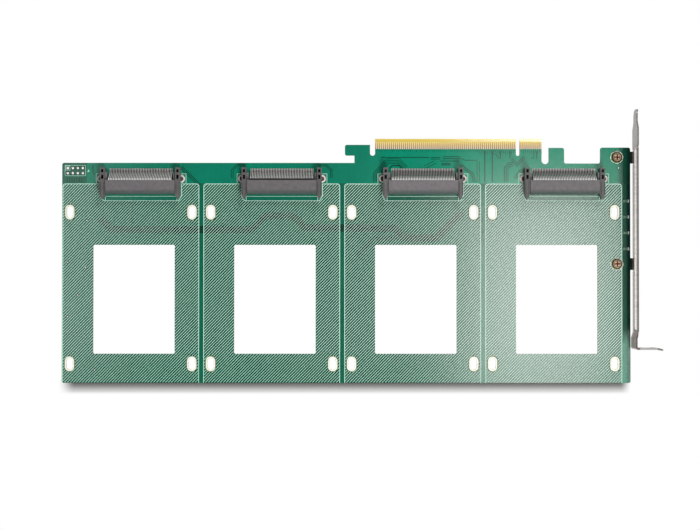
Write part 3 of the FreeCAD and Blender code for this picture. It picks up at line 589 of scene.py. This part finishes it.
def screw_material(name):
    """Bronze-coloured screw: bright crown ringed by painted shade and a painted highlight, dark olive sides
    and a dark recess, both painted shade.
    """
    n = Finish(name)
    grain = n.noise(900.0, 3.0)
    crown = n.ramp(grain, (0.3, srgb(176, 128, 104)), (0.7, srgb(240, 206, 184)))
    rim = n.ramp(grain, (0.3, srgb(62, 54, 34)), (0.7, srgb(120, 104, 62)))
    low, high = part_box("bracket_screw_upper")
    lower_low, lower_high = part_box("bracket_screw_lower")
    across = n.less(n.part(X), (low.x + high.x) / 2)
    from_upper = n.math("ABSOLUTE", n.less(n.part(Y), (low.y + high.y) / 2))
    from_lower = n.math("ABSOLUTE", n.less(n.part(Y), (lower_low.y + lower_high.y) / 2))
    up = n.math("MINIMUM", from_upper, from_lower)
    radius = n.math("SQRT", n.math("ADD", n.times(across, across), n.times(up, up)))
    wave = n.math("ADD", n.math("DIVIDE", radius, (high.x - low.x) / 2), n.times(grain, 0.3))
    # Painted shade and a painted highlight in rings round the crown
    band = n.ramp(wave, (0.0, (1.0, 1.0, 1.0)), (0.62, (1.0, 1.0, 1.0)), (0.74, (0.2, 0.17, 0.12)),
                  (0.86, (0.75, 0.8, 0.6)), (0.98, (0.2, 0.2, 0.1)), (1.0, (0.15, 0.17, 0.09)))
    # Painted shade on the sides and on the recess floor
    level = n.more(n.upward(), 0.9)
    top = n.times(n.more(n.part(Z), high.z - 0.1 * MM), level)
    painted_shade_below_top = n.mix(level, rim, srgb(74, 44, 30))
    n.set(Base_Color=n.mix(top, painted_shade_below_top, n.tint(crown, band)), Metallic=0.5)
    n.rough(grain, 0.2, 0.35)
    n.bump(grain, 0.25, 0.0003)
    return n.material


MASK = mask_material("solder_mask", srgb(4, 132, 104), srgb(9, 106, 82), 0.58)
COVERED = mask_material("covered_copper", srgb(1, 70, 52), srgb(2, 52, 38), 0.1)
INK = ink_material()
GOLD = gold_material("contact_gold", srgb(252, 190, 96), srgb(230, 160, 68), 0.4, 0.05)
# The plated rings' near-white colour is a painted highlight on the plating
RING_GOLD = gold_material("plated_ring", srgb(253, 255, 244), srgb(246, 250, 226), 0.55, 0.1)
RIM = plastic_material("mask_rim", srgb(104, 104, 66), srgb(78, 80, 48), 0.6)
HOUSING = housing_material("connector_plastic")
# Near-black plastic as painted shade between the leads, in the mouth, in the arms' grooves and as the shade
# bar
HOUSING_SHADE = plastic_material("connector_comb", srgb(16, 13, 13), srgb(9, 8, 8), 0.7)
TINNED = metal_material("tinned_lead", srgb(255, 252, 250), srgb(238, 234, 230), 0.38, 0.2, 0.55)
BRIGHT_TIN = metal_material("bright_tin", srgb(255, 255, 252), srgb(246, 250, 246), 0.5, 0.0)
# Dim greenish tin, painted shade on the lamps' left pads
SHADED_TIN = metal_material("shaded_tin", srgb(150, 196, 172), srgb(112, 164, 140), 0.5, 0.0)
SOLDER = metal_material("solder", srgb(250, 238, 234), srgb(206, 192, 188), 0.36, 0.15)
STEEL = steel_material("nickel_steel")
BRONZE = screw_material("screw_bronze")
LAMP = plastic_material("lamp_body", srgb(96, 150, 120), srgb(60, 112, 88), 0.35)
RESISTOR = plastic_material("resistor_glaze", srgb(40, 40, 44), srgb(26, 26, 30), 0.35)
# Dark pad inside each lock's print, partly painted shade round the lock
LOCK_PAD = plastic_material("aged_solder", srgb(88, 80, 76), srgb(54, 48, 46), 0.4)
CHIP = plastic_material("chip_epoxy", srgb(48, 48, 52), srgb(34, 34, 38), 0.6)
CAPACITOR = plastic_material("capacitor_body", srgb(176, 146, 108), srgb(150, 120, 84), 0.45)

SLOT_FINISH = {
    "board": MASK,
    "gold": GOLD,
    "housing": HOUSING,
    "lead_metal": TINNED,
    "lock_metal": SOLDER,
    "bracket_steel": STEEL,
    "screw_steel": BRONZE,
    "lamp": LAMP,
    "resistor": RESISTOR,
    "chip": CHIP,
    "capacitor": CAPACITOR,
}


def finish_nodes():
    """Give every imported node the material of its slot."""
    slots = [entry["slot"] for entry in frame["record"]["materials"]]
    for item in frame["nodes"].values():
        for holder in item.material_slots:
            old = holder.material.name if holder.material else ""
            for slot in slots:
                if slot in old:
                    holder.material = SLOT_FINISH[slot]


# White print: slanted hatching, cell outlines and the lines at a connector's mouth
HATCH_PITCH = 1.5
HATCH_WIDTH = 0.265
HATCH_START = 0.84
HATCH_LEAN = 0.9953
LINE_WIDTH = 0.34
MOUTH_LINE_WIDTH = 0.238
ARM_LINE_INSET = 0.9
CELL_ROUND = 1.2
ROUND_STEPS = 5
MOUTH_LINE = 94.2


def clipped(line, holes):
    """Cut convex holes out of a straight line; return the stretches that are left."""
    (x0, y0), (x1, y1) = line
    kept = [(0.0, 1.0)]
    for hole in holes:
        enter, leave = 0.0, 1.0
        for (ax, ay), (bx, by) in zip(hole, hole[1:] + hole[:1]):
            nx, ny = by - ay, ax - bx
            start = nx * (x0 - ax) + ny * (y0 - ay)
            slope = nx * (x1 - x0) + ny * (y1 - y0)
            if abs(slope) < 1e-12:
                if start > 0:
                    enter, leave = 1.0, 0.0
                continue
            cut = -start / slope
            if slope > 0:
                leave = min(leave, cut)
            else:
                enter = max(enter, cut)
        if enter < leave:
            parts = [part for a, b in kept for part in ((a, min(b, enter)), (max(a, leave), b))]
            kept = [(a, b) for a, b in parts if b - a > 1e-6]
    return [[(x0 + share * (x1 - x0), y0 + share * (y1 - y0)) for share in part] for part in kept]


def cell_edges(bay):
    """Left and right edge of a bay's printed cell."""
    middle = bay_middle(bay)
    return middle - CELL_WIDTH / 2, middle + CELL_WIDTH / 2


def notch_outline(bay):
    """Clear space round a connector, counterclockwise, chamfered where the guide arms end."""
    middle = bay_middle(bay) + CONNECTOR_SHIFT
    half, inside = NOTCH_WIDTH / 2, NOTCH_WIDTH / 2 - NOTCH_CHAMFER[0]
    shoulder, past = NOTCH_FOOT + NOTCH_CHAMFER[1], CELL_HEAD + 1
    return [(middle - inside, NOTCH_FOOT), (middle + inside, NOTCH_FOOT), (middle + half, shoulder),
            (middle + half, past), (middle - half, past), (middle - half, shoulder)]


def bay_slots(bay):
    """Middles of a bay's four slots."""
    return [(bay_middle(bay) + side * SLOT_SPAN / 2, row) for side in (-1, 1) for row in SLOT_ROWS]


def bay_holes(bay):
    """What interrupts a bay's hatching: the window, four slots and the connector's notch."""
    middle = bay_middle(bay) + WINDOW_SHIFT
    width, length = WINDOW_SIZE
    window = rectangle(middle - width / 2, WINDOW_FOOT, middle + width / 2, WINDOW_FOOT + length)
    rims = [stadium(x, y, RIM_RADIUS, SLOT_REACH, 24) for x, y in bay_slots(bay)]
    return [window] + rims + [notch_outline(bay)]


def make_hatching():
    """Slanted lines in every bay, which start at the same place in each."""
    shape = Shape()
    for bay in range(BAY_COUNT):
        left, right = cell_edges(bay)
        holes = bay_holes(bay)
        start = bay_middle(bay) + HATCH_START
        first = math.floor((left - CELL_HEAD - start) / HATCH_PITCH)
        last = math.ceil((right - start) / HATCH_PITCH)
        for number in range(first, last + 1):
            foot = start + number * HATCH_PITCH
            low = max(HATCH_WIDTH, (left - foot) / HATCH_LEAN)
            high = min(CELL_HEAD, (right - foot) / HATCH_LEAN)
            if high - low < HATCH_WIDTH:
                continue
            line = ((foot + HATCH_LEAN * low, low), (foot + HATCH_LEAN * high, high))
            for stretch in clipped(line, holes):
                shape.ribbon(stretch, HATCH_WIDTH, 0.0, PRINT_TOP)
    shape.piece("print_hatching", INK, "board")


def make_outlines():
    """White line round each bay, open at the foot, with the connector's notch and mouth line."""
    shape = Shape()
    level = PRINT_TOP + LAYER
    for bay in range(BAY_COUNT):
        left, right = cell_edges(bay)
        foot_left, foot_right, right_shoulder, _, _, left_shoulder = notch_outline(bay)
        r = CELL_ROUND
        turns = [math.pi / 2 * i / ROUND_STEPS for i in range(ROUND_STEPS + 1)]
        left_round = [(left + r - r * math.cos(a), CELL_HEAD - r + r * math.sin(a)) for a in turns]
        right_round = [(right - r + r * math.sin(a), CELL_HEAD - r + r * math.cos(a)) for a in turns]
        notch = [(left_shoulder[0], CELL_HEAD), left_shoulder, foot_left, foot_right, right_shoulder,
                 (right_shoulder[0], CELL_HEAD)]
        path = [(left, 0.0)] + left_round + notch + right_round + [(right, 0.0)]
        shape.ribbon(path, LINE_WIDTH, 0.0, level)
        mouth = [(foot_left[0] + ARM_LINE_INSET, MOUTH_LINE), (foot_right[0] - ARM_LINE_INSET, MOUTH_LINE)]
        for x, _ in mouth:
            shape.ribbon([(x, NOTCH_FOOT), (x, MOUTH_LINE + LINE_WIDTH)], LINE_WIDTH, 0.0, level - 2 * LAYER)
        shape.ribbon(mouth, MOUTH_LINE_WIDTH, 0.0, level - LAYER)
    shape.piece("print_outlines", INK, "board")


# Header in the corner
HEADER_HOLE = 0.5
HEADER_PAD = 0.62
HEADER_COLLAR = 1.05
HEADER_BORDER = 1.35
HEADER_LINE = 0.16
PIN_MARK = 1.2
POINTER_GAP = 1.5
POINTER_HALF = (0.55, 0.6)


def make_header():
    """White box, pointer and pin mark, and each header hole's plated ring and dark collar."""
    box, rings, collars = Shape(), Shape(), Shape()
    left, right = HEADER_X[0] - HEADER_BORDER, HEADER_X[-1] + HEADER_BORDER
    foot, head = HEADER_Y[0] - HEADER_BORDER, HEADER_Y[-1] + HEADER_BORDER
    corners = rectangle(left, foot, right, head)
    box.ribbon(corners + corners[:1], HEADER_LINE, 0.0, PRINT_TOP)
    x, y = right + POINTER_GAP, (foot + head) / 2
    wide, tall = POINTER_HALF
    box.prism([(x - wide, y - tall), (x + wide, y - tall), (x, y + tall)], 0.0, PRINT_TOP)
    for column, x in enumerate(HEADER_X):
        for row, y in enumerate(HEADER_Y):
            pad = circle(x, y, HEADER_PAD)
            front = pad
            collars.ring(circle(x, y, HEADER_COLLAR), pad, 0.0, TRACE_TOP)
            if column == 0 and row == len(HEADER_Y) - 1:
                box.ring(square(x, y, PIN_MARK), square(x, y, PIN_MARK - HEADER_LINE), 0.0, PRINT_TOP)
                front = square_like_circle(x, y, HEADER_PAD)
            barrel, hole = (circle(x, y, HEADER_HOLE + reach) for reach in (BARREL_OUT, -BARREL_IN))
            rings.plated(front, pad, barrel, hole)
    box.piece("print_header", INK, "board")
    rings.piece("header_plating", BRIGHT_TIN, "lock_metal")
    collars.piece("header_collars", COVERED, "board")


def make_slot_plating():
    """Plated ring with a dark rim round each slot."""
    rings, rims = Shape(), Shape()
    for bay in range(BAY_COUNT):
        for x, y in bay_slots(bay):
            radii = (RIM_RADIUS, RING_RADIUS, SLOT_RADIUS + BARREL_OUT, SLOT_RADIUS - BARREL_IN)
            rim, ring, barrel, hole = (stadium(x, y, radius, SLOT_REACH) for radius in radii)
            rings.plated(ring, ring, barrel, hole)
            rims.ring(rim, ring, 0.0, TRACE_TOP)
    rings.piece("slot_plating", RING_GOLD, "gold")
    rims.piece("slot_rims", RIM, "board")


# Bare ring round each bracket screw: reach past the head, and the vias on it
SCREW_PAD = (0.3, 0.62)
PAD_VIAS = 8
PAD_VIA_REACH = 0.46
PAD_VIA_RADIUS = 0.2


def make_screw_pads():
    """Bare ring that shows round each bracket screw's head, with its row of small vias."""
    pads, vias = Shape(), Shape()
    for name in ("bracket_screw_upper", "bracket_screw_lower"):
        left, foot, right, head, _, _ = board_box(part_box(name))
        x, y, radius = (left + right) / 2, (foot + head) / 2, (right - left) / 2
        inner, outer = (circle(x, y, radius + reach, 48) for reach in SCREW_PAD)
        pads.ring(outer, inner, 0.0, PLATE_TOP)
        for number in range(PAD_VIAS):
            turn = 2 * math.pi * (number + 0.5) / PAD_VIAS
            reach = radius + PAD_VIA_REACH
            via = circle(x + reach * math.cos(turn), y + reach * math.sin(turn), PAD_VIA_RADIUS, 12)
            vias.prism(via, PLATE_TOP, PLATE_TOP + 2 * LAYER)
    pads.piece("screw_pads", RING_GOLD, "gold")
    vias.piece("screw_pad_vias", RIM, "board")


# Leads and comb of a drive connector; the comb is painted shade. On the second one a dark bar of
# painted shade, given by half its length, its depth and its levels under the housing's top, replaces the
# crowns.
SHADED_BAY = 1
LEAD_PITCH = 0.8
LEAD_COUNT = 40
LEAD_HALF = 0.18
LEAD_PAD = (2.0, 0.1)
CROWN_DEPTH = 0.75
CROWN_LEVELS = (1.2, 0.02)
COMB_HALF = 0.24
COMB_INSET = (0.1, 0.05)
COMB_TOP = 0.3
RIB_HALF = 0.14
RIB_REACH = 1.9
RIB_LEVELS = (0.8, 1.6)
SHADE_BAR = (15.8, 0.9, 1.3, 1.0)

# Inside of the mouth: contact springs over and under the tongue, which is given by half its
# length, its reach and its levels; grooves on the arms
SPRING_HALF = 0.15
SPRING_REACH = (0.6, 5.0)
SPRING_LEVELS = ((4.55, 4.8), (2.7, 2.95))
MOUTH_TONGUE = (15.4, 0.4, 5.1, 3.25, 4.25)
ARM_GROOVES = (0.4, 1.9)
GROOVE_HALF = 0.09
GROOVE_REACH = (-0.4, 5.9)
GROOVE_LEVELS = (6.85, 6.92)


def make_connector_detail():
    """Pads and crowns of the leads, the dark comb between them as painted shade, mouth contacts and arm
    grooves.
    """
    pads, crowns, comb, springs, grooves = (Shape() for _ in range(5))
    spring_start, spring_end = (CONNECTOR_FOOT + reach for reach in SPRING_REACH)
    groove_start, groove_end = (CONNECTOR_FOOT + reach for reach in GROOVE_REACH)
    for bay in range(BAY_COUNT):
        _, rear, _, head, _, _ = bay_box(bay, "connector_leads")
        left, _, right, _, _, top = bay_box(bay)
        middle = bay_middle(bay) + CONNECTOR_SHIFT
        first = middle - LEAD_PITCH * (LEAD_COUNT - 1) / 2
        for number in range(LEAD_COUNT):
            x = first + number * LEAD_PITCH
            pads.post(x, LEAD_HALF, head - LEAD_PAD[0], head + LEAD_PAD[1], 0.0, PAD_TOP)
            if bay != SHADED_BAY:
                drop, rise = CROWN_LEVELS
                crowns.post(x, LEAD_HALF, rear, rear + CROWN_DEPTH, top - drop, top + rise)
            for low, high in SPRING_LEVELS:
                springs.post(x, SPRING_HALF, spring_start, spring_end, low, high)
            if number < LEAD_COUNT - 1:
                gap = x + LEAD_PITCH / 2
                comb.post(gap, COMB_HALF, rear + COMB_INSET[0], head - COMB_INSET[1], 0.0, COMB_TOP)
                comb.post(gap, RIB_HALF, rear + COMB_INSET[0], rear + RIB_REACH, *RIB_LEVELS)
        if bay == SHADED_BAY:
            half, depth, low, high = SHADE_BAR
            comb.post(middle, half, rear, rear + depth, top - low, top - high)
        half, start, end, low, high = MOUTH_TONGUE
        comb.post(middle, half, CONNECTOR_FOOT + start, CONNECTOR_FOOT + end, low, high)
        for side, edge in ((1, left), (-1, right)):
            for inset in ARM_GROOVES:
                grooves.post(edge + side * inset, GROOVE_HALF, groove_start, groove_end, *GROOVE_LEVELS)
    grooves.piece("arm_grooves", HOUSING_SHADE, "housing")
    pads.piece("lead_pads", TINNED, "lead_metal")
    crowns.piece("lead_crowns", BRIGHT_TIN, "lead_metal")
    comb.piece("connector_combs", HOUSING_SHADE, "housing")
    springs.piece("mouth_contacts", TINNED, "lead_metal")


# Soldered half rings of the board locks
LOCK_HOLE = 1.15
RING_STEPS = 16
RING_SIDES = 12


def make_lock_rings():
    """Smooth, crowned half rings of solder, which stand for the plain ones."""
    section = [(c, max(0.0, 1 + s) / 2) for c, s in circle(0.0, 0.0, 1.0, RING_SIDES)]
    turns = [math.pi * step / RING_STEPS for step in range(RING_STEPS + 1)]
    for bay in range(BAY_COUNT):
        left, foot, right, head, _, high = bay_box(bay, "board_locks")
        outer, middle = (head - foot) / 2, (foot + head) / 2
        tube = (outer - LOCK_HOLE) / 2
        spots = [(outer - tube + tube * c, high * lift) for c, lift in section]
        shape = Shape()
        for side, x in ((-1, left + outer), (1, right - outer)):
            shape.loft([[(x + side * r * math.sin(turn), middle - r * math.cos(turn), z) for r, z in spots]
                        for turn in turns])
        ring = shape.piece(f"lock_rings_{bay + 1}", SOLDER, "lock_metal", smooth=True)
        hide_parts(f"board_locks_{bay + 1}")


# Print round a board lock, past its box, and the pad inside it
LOCK_LINE = 0.22
LOCK_LINE_OUT = 0.55
LOCK_LINE_BACK = 1.9
LOCK_LINE_ENDS = (0.3, 0.5)
LOCK_PAD_REACH = (0.25, 2.6)
LOCK_PAD_INSET = 0.2


def make_lock_prints():
    """White line round the outer side of each soldered board lock, and the dark pad inside it."""
    shape, pads = Shape(), Shape()
    for bay in range(BAY_COUNT):
        left, foot, right, head, _, _ = bay_box(bay, "board_locks")
        for side, edge in ((-1, left), (1, right)):
            out, back = edge + side * LOCK_LINE_OUT, edge - side * LOCK_LINE_BACK
            low, high = foot - LOCK_LINE_ENDS[0], head + LOCK_LINE_ENDS[1]
            shape.ribbon([(back, high), (out, high), (out, low)], LOCK_LINE, 0.0, PRINT_TOP)
            start, end = LOCK_PAD_REACH
            pads.post(edge - side * (start + end) / 2, (end - start) / 2,
                      foot + LOCK_PAD_INSET, head - LOCK_PAD_INSET, 0.0, PAD_TOP)
    shape.piece("print_lock_outlines", INK, "board")
    pads.piece("lock_pads", LOCK_PAD, "lock_metal")


# Indicator lamps and the solder at their left and right ends: reach out and in, and height
LIGHT_COUNT = 4
LIGHT_PITCH = 8.05
LIGHT_WIDTH = 1.25
LIGHT_PAD = (0.45, 0.3, 0.4)
LIGHT_TERMINAL = (0.35, 0.35, 0.74)
LIGHT_SKIN = 0.1


def make_lamp_pads():
    """Solder at both ends of each indicator lamp; the left ends are painted dim, a painted shade."""
    pads, ends = Shape(), Shape()
    left, foot, right, _, _, _ = board_box(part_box("status_lights"))
    for number in range(LIGHT_COUNT):
        low = foot + number * LIGHT_PITCH
        high = low + LIGHT_WIDTH
        out, inside, top = LIGHT_PAD
        pads.box(left - out, low, left + inside, high, 0.0, top)
        out, inside, top = LIGHT_TERMINAL
        ends.box(right - inside, low - LIGHT_SKIN, right + out, high + LIGHT_SKIN, 0.0, top)
    pads.piece("lamp_pads", SHADED_TIN, "lead_metal")
    ends.piece("lamp_terminals", BRIGHT_TIN, "lead_metal")


# Lines under the mask: path, number of lines, pitch and width
TRACES = (
    ([(19.1, 83.3), (25.2, 77.4), (95.8, 77.4), (102.9, 84.3), (116.8, 84.3), (122.8, 78.4), (168.4, 78.0),
      (172.9, 73.2), (189.1, 73.2), (202.3, 86.4)], 6, 0.62, 0.54),
    ([(35.3, 91.4), (35.3, 79.2)], 2, 0.7, 0.3),
    ([(148.6, 63.9), (157.7, 73.0), (170.0, 73.0)], 4, 0.6, 0.3),
    ([(212.0, 84.0), (212.0, 71.0)], 3, 0.6, 0.3),
    ([(60.1, 109.0), (69.6, 99.6)], 3, 0.7, 0.34),
    ([(86.0, 103.5), (86.0, 107.6), (88.4, 110.0), (93.0, 110.0)], 2, 0.8, 0.36),
    ([(129.0, 110.0), (133.4, 110.0), (136.0, 107.4), (136.0, 103.5)], 2, 0.8, 0.36),
    ([(17.8, 104.2), (15.6, 106.4), (15.6, 110.3)], 2, 0.7, 0.3),
    ([(158.5, 101.5), (158.5, 105.6), (164.6, 112.0), (170.0, 112.0), (173.6, 108.4)], 4, 0.8, 0.36),
    ([(165.4, 108.4), (166.8, 109.8), (170.4, 109.8), (171.8, 108.4)], 1, 1.0, 0.7),
    ([(161.1, 113.9), (185.6, 113.9)], 1, 1.0, 0.45),
    ([(186.4, 113.5), (191.1, 113.5)], 2, 0.8, 0.4),
    ([(188.6, 111.7), (183.2, 108.9)], 2, 1.4, 0.35),
    ([(192.3, 113.8), (201.2, 113.8)], 2, 1.0, 0.42),
    ([(191.0, 112.1), (200.4, 112.1)], 1, 1.0, 0.42),
    ([(191.6, 110.5), (196.4, 110.5)], 2, 0.7, 0.5),
    ([(201.4, 113.6), (203.6, 112.5), (209.6, 112.5)], 1, 1.0, 0.4),
    ([(201.6, 110.4), (203.2, 108.6), (207.4, 105.6), (208.4, 101.5)], 2, 0.9, 0.5),
    ([(210.3, 112.0), (210.3, 101.4)], 2, 1.2, 0.3),
    ([(213.6, 117.2), (213.6, 101.4)], 1, 1.0, 0.62),
    ([(217.4, 117.2), (217.4, 101.4)], 1, 1.0, 0.55),
    ([(218.9, 115.7), (220.9, 113.3)], 1, 1.0, 0.45),
    ([(221.5, 117.2), (221.5, 113.3)], 1, 1.0, 0.45),
    ([(226.3, 117.2), (226.3, 113.2)], 1, 1.0, 0.45),
    ([(224.4, 101.6), (224.4, 108.6), (226.2, 110.4), (228.0, 110.4)], 3, 0.9, 0.4),
    ([(227.2, 113.2), (229.8, 110.2), (233.6, 114.4)], 2, 0.9, 0.4),
    ([(228.8, 103.2), (231.6, 107.2), (234.6, 107.2)], 2, 0.9, 0.5),
    ([(236.9, 113.6), (238.4, 113.6), (238.4, 117.2)], 1, 1.0, 0.4),
    ([(239.8, 117.2), (239.8, 113.0)], 1, 1.0, 0.45),
    ([(6.2, 103.6), (6.2, 101.2)], 7, 1.2, 0.4),
)
VIAS = ((12.5, 82.0), (2.9, 60.8), (12.0, 58.0), (7.9, 44.3), (2.9, 33.4), (16.5, 6.4), (270.1, 5.4),
        (281.2, 108.6))
VIA_RADIUS = 0.62
VIA_CAP = 0.3
STUB_HALF = 0.12
STUB_CHANGE = 210.0
SHORT_STUB = (0.5, 0.4)
LONG_STUB = (1.6, 0.5)


def make_traces():
    """Copper lines that show darker through the mask, and vias."""
    lines, rings, caps = Shape(), Shape(), Shape()
    for path, count, pitch, width in TRACES:
        for number in range(count):
            lines.ribbon(shifted(path, (number - (count - 1) / 2) * pitch), width, 0.0, TRACE_TOP)
    for start, count in CONTACT_ROWS:
        for number in range(count):
            x = start + number * CONTACT_PITCH
            least, step = SHORT_STUB if x < STUB_CHANGE else LONG_STUB
            reach = least + step * (number % 3)
            lines.post(x, STUB_HALF, CONTACT_FOOT - reach, CONTACT_FOOT, 0.0, TRACE_TOP)
    for x, y in VIAS:
        rings.prism(circle(x, y, VIA_RADIUS, 20), 0.0, PRINT_TOP + LAYER)
        caps.prism(circle(x, y, VIA_CAP, 16), 0.0, PRINT_TOP + 3 * LAYER)
    lines.piece("traces", COVERED, "board")
    rings.piece("via_rings", COVERED, "board")
    caps.piece("via_caps", BRIGHT_TIN, "lead_metal")


def islands(name):
    """Boxes of a node's separate bodies, as board_box gives them."""
    shell = bmesh.new()
    shell.from_mesh(frame["nodes"][name].data)
    bmesh.ops.remove_doubles(shell, verts=shell.verts, dist=1e-6)
    waiting, boxes = set(shell.verts), []
    while waiting:
        group, edge = [], [waiting.pop()]
        while edge:
            corner = edge.pop()
            group.append(corner.co.copy())
            for link in corner.link_edges:
                other = link.other_vert(corner)
                if other in waiting:
                    waiting.remove(other)
                    edge.append(other)
        columns = list(zip(*(frame["nodes"][name].matrix_world @ spot for spot in group)))
        boxes.append(board_box(([min(c) for c in columns], [max(c) for c in columns])))
    shell.free()
    return sorted(boxes)


# Ends of the small parts on the back, and pins of the clock buffer: half width and depth
TERMINAL_PART = 0.22
TERMINAL_SKIN = 0.02
CHIP_PITCH = 0.5
CHIP_MARGIN = 0.6
PIN_HALF = 0.12
PIN_OUT = 0.2
PIN_IN = 0.05
PIN_DEPTH = 0.2


def make_back_terminals():
    """Tinned ends of the small parts on the back and the pads round the clock buffer."""
    ends, pins = Shape(), Shape()
    skin = TERMINAL_SKIN
    for name in ("light_resistors", "clock_resistors", "bypass_capacitors"):
        for left, foot, right, head, low, high in islands(name):
            cap = max(right - left, head - foot) * TERMINAL_PART
            wide = right - left > head - foot
            near = (left + cap, head + skin) if wide else (right + skin, foot + cap)
            far = (right - cap, foot - skin) if wide else (left - skin, head - cap)
            ends.box(left - skin, foot - skin, *near, low - skin, high)
            ends.box(*far, right + skin, head + skin, low - skin, high)
    left, foot, right, head, _, high = islands("clock_buffer_chip")[0]
    low = high - PIN_DEPTH
    for start, end in ((left, right), (foot, head)):
        count = int((end - start - CHIP_MARGIN) / CHIP_PITCH)
        first = (start + end - (count - 1) * CHIP_PITCH) / 2
        for number in range(count):
            spot = first + number * CHIP_PITCH
            if start == left:
                pins.post(spot, PIN_HALF, foot - PIN_OUT, foot + PIN_IN, low, high)
                pins.post(spot, PIN_HALF, head - PIN_IN, head + PIN_OUT, low, high)
            else:
                pins.box(left - PIN_OUT, spot - PIN_HALF, left + PIN_IN, spot + PIN_HALF, low, high)
                pins.box(right - PIN_IN, spot - PIN_HALF, right + PIN_OUT, spot + PIN_HALF, low, high)
    ends.piece("back_terminals", TINNED, "lead_metal")
    pins.piece("chip_terminals", TINNED, "lead_metal")


# Lamps: name, place, target or none for straight down, size, radiance and colour; all in metres
LAMPS = (
    ("key", (0.36, -0.87, 1.30), (0.0, 0.0, 0.0), (0.42, 0.42), 27.8, (1.0, 1.0, 1.0)),
    ("back", (0.42, 0.95, 1.25), (0.0, 0.0, 0.0), (0.5, 0.5), 9.5, (1.0, 1.0, 1.0)),
    ("veil", (0.183, -0.034, 1.0), None, (0.143, 0.23), 5.8, (1.0, 0.965, 0.93)),
    ("fill_left", (-0.33, 0.0, 1.0), None, (0.17, 0.26), 1.0, (1.0, 1.0, 1.0)),
)

# Light from the world on surfaces that aren't glossy, and how it fades from the horizon upward
AMBIENT = 0.4
FADE_START = 0.45
FADE_END = 0.95
OVERHEAD = 0.02

# Floor: half its width in metres, its painted shadow below the card's lower edge, and where that shows
FLOOR_HALF = 6.0
FLOOR_REACH = -6.0
# Painted shadow on the floor below the card's lower edge
FLOOR_PAINTED_SHADOW = ((0.0, 0.95), (0.21, 0.75), (0.38, 0.63), (0.54, 0.46), (0.71, 0.35), (0.88, 0.24), (1.0, 0.15))
SHADOW_BAND = ((Y, -6.5, -4.0), (Y, 2.0, 1.0), (X, -2.5, 6.5), (X, BOARD_LENGTH + 1.0, BOARD_LENGTH - 5.0))


def make_lamps():
    """Rectangular lamps, each turned to its target or facing straight down."""
    for name, place, target, (width, height), radiance, colour in LAMPS:
        data = bpy.data.lights.new(name, "AREA")
        data.shape = "RECTANGLE"
        data.size, data.size_y = width, height
        data.energy = radiance * width * height * math.pi
        data.color = colour
        lamp = bpy.data.objects.new(name, data)
        lamp.location = place
        if target:
            lamp.rotation_euler = (Vector(target) - Vector(place)).to_track_quat("-Z", "Y").to_euler()
        bpy.context.scene.collection.objects.link(lamp)


def make_stage():
    """Floor that looks white to the camera, but for a band at the card's lower edge with a painted shadow."""
    mesh = bpy.data.meshes.new("floor")
    corners = rectangle(-FLOOR_HALF, -FLOOR_HALF, FLOOR_HALF, FLOOR_HALF)
    mesh.from_pydata([(x, y, 0.0) for x, y in corners], [], [(0, 1, 2, 3)])
    floor = bpy.data.objects.new("floor", mesh)
    bpy.context.scene.collection.objects.link(floor)
    n = Finish("floor_paint")
    n.set(Roughness=0.9, Specular_IOR_Level=0.0, Base_Color=n.along(Y, FLOOR_REACH, 0.0, *FLOOR_PAINTED_SHADOW))
    foot, head, left, right = (n.run(*side, "SMOOTHSTEP") for side in SHADOW_BAND)
    band = n.times(n.times(foot, head), n.times(left, right))
    white = n.node("ShaderNodeEmission", Color=(1.0, 1.0, 1.0), Strength=1.0)
    blend = n.node("ShaderNodeMixShader", Fac=n.times(n.seen(), n.less(1.0, band)))
    n.feed(blend.inputs[1], n.shader.outputs[0])
    n.feed(blend.inputs[2], white.outputs[0])
    n.feed(n.tree.nodes["Material Output"].inputs["Surface"], blend.outputs[0])
    mesh.materials.append(n.material)


def make_world():
    """White for the camera; for other rays bright low down and dim overhead."""
    world = bpy.data.worlds.new("studio")
    bpy.context.scene.world = world
    world.use_nodes = True
    n = Nodes(world.node_tree, "Generated")
    fade = n.node("ShaderNodeMapRange", interpolation_type="SMOOTHSTEP", Value=n.part(Z),
                  From_Min=FADE_START, From_Max=FADE_END, To_Min=1.0, To_Max=OVERHEAD)
    ambient = n.node("ShaderNodeMapRange", Value=n.seen(), To_Min=AMBIENT)
    camera = n.node("ShaderNodeLightPath").outputs["Is Camera Ray"]
    strength = n.math("MAXIMUM", camera, n.times(ambient.outputs[0], fade.outputs[0]))
    backdrop = n.tree.nodes["Background"]
    n.feed(backdrop.inputs["Strength"], strength)
    n.feed(backdrop.inputs["Color"], (1.0, 1.0, 1.0))


def make_camera():
    """Camera fitted to the photograph: nearly straight above the card."""
    data = bpy.data.cameras.new("camera")
    data.sensor_width = 36.0
    data.lens = 106.67
    data.dof.use_dof = False
    camera = bpy.data.objects.new("camera", data)
    camera.location = (-0.00521, -0.02587, 1.05)
    camera.rotation_euler = [math.radians(turn) for turn in (0.908, 0.007, 0.021)]
    bpy.context.scene.collection.objects.link(camera)
    bpy.context.scene.camera = camera


finish_nodes()
make_hatching()
make_outlines()
make_header()
make_slot_plating()
make_screw_pads()
make_connector_detail()
make_lock_rings()
make_lock_prints()
make_lamp_pads()
make_traces()
make_back_terminals()
make_stage()
make_world()
make_lamps()
make_camera()
bpy.context.scene.view_settings.view_transform = "Standard"
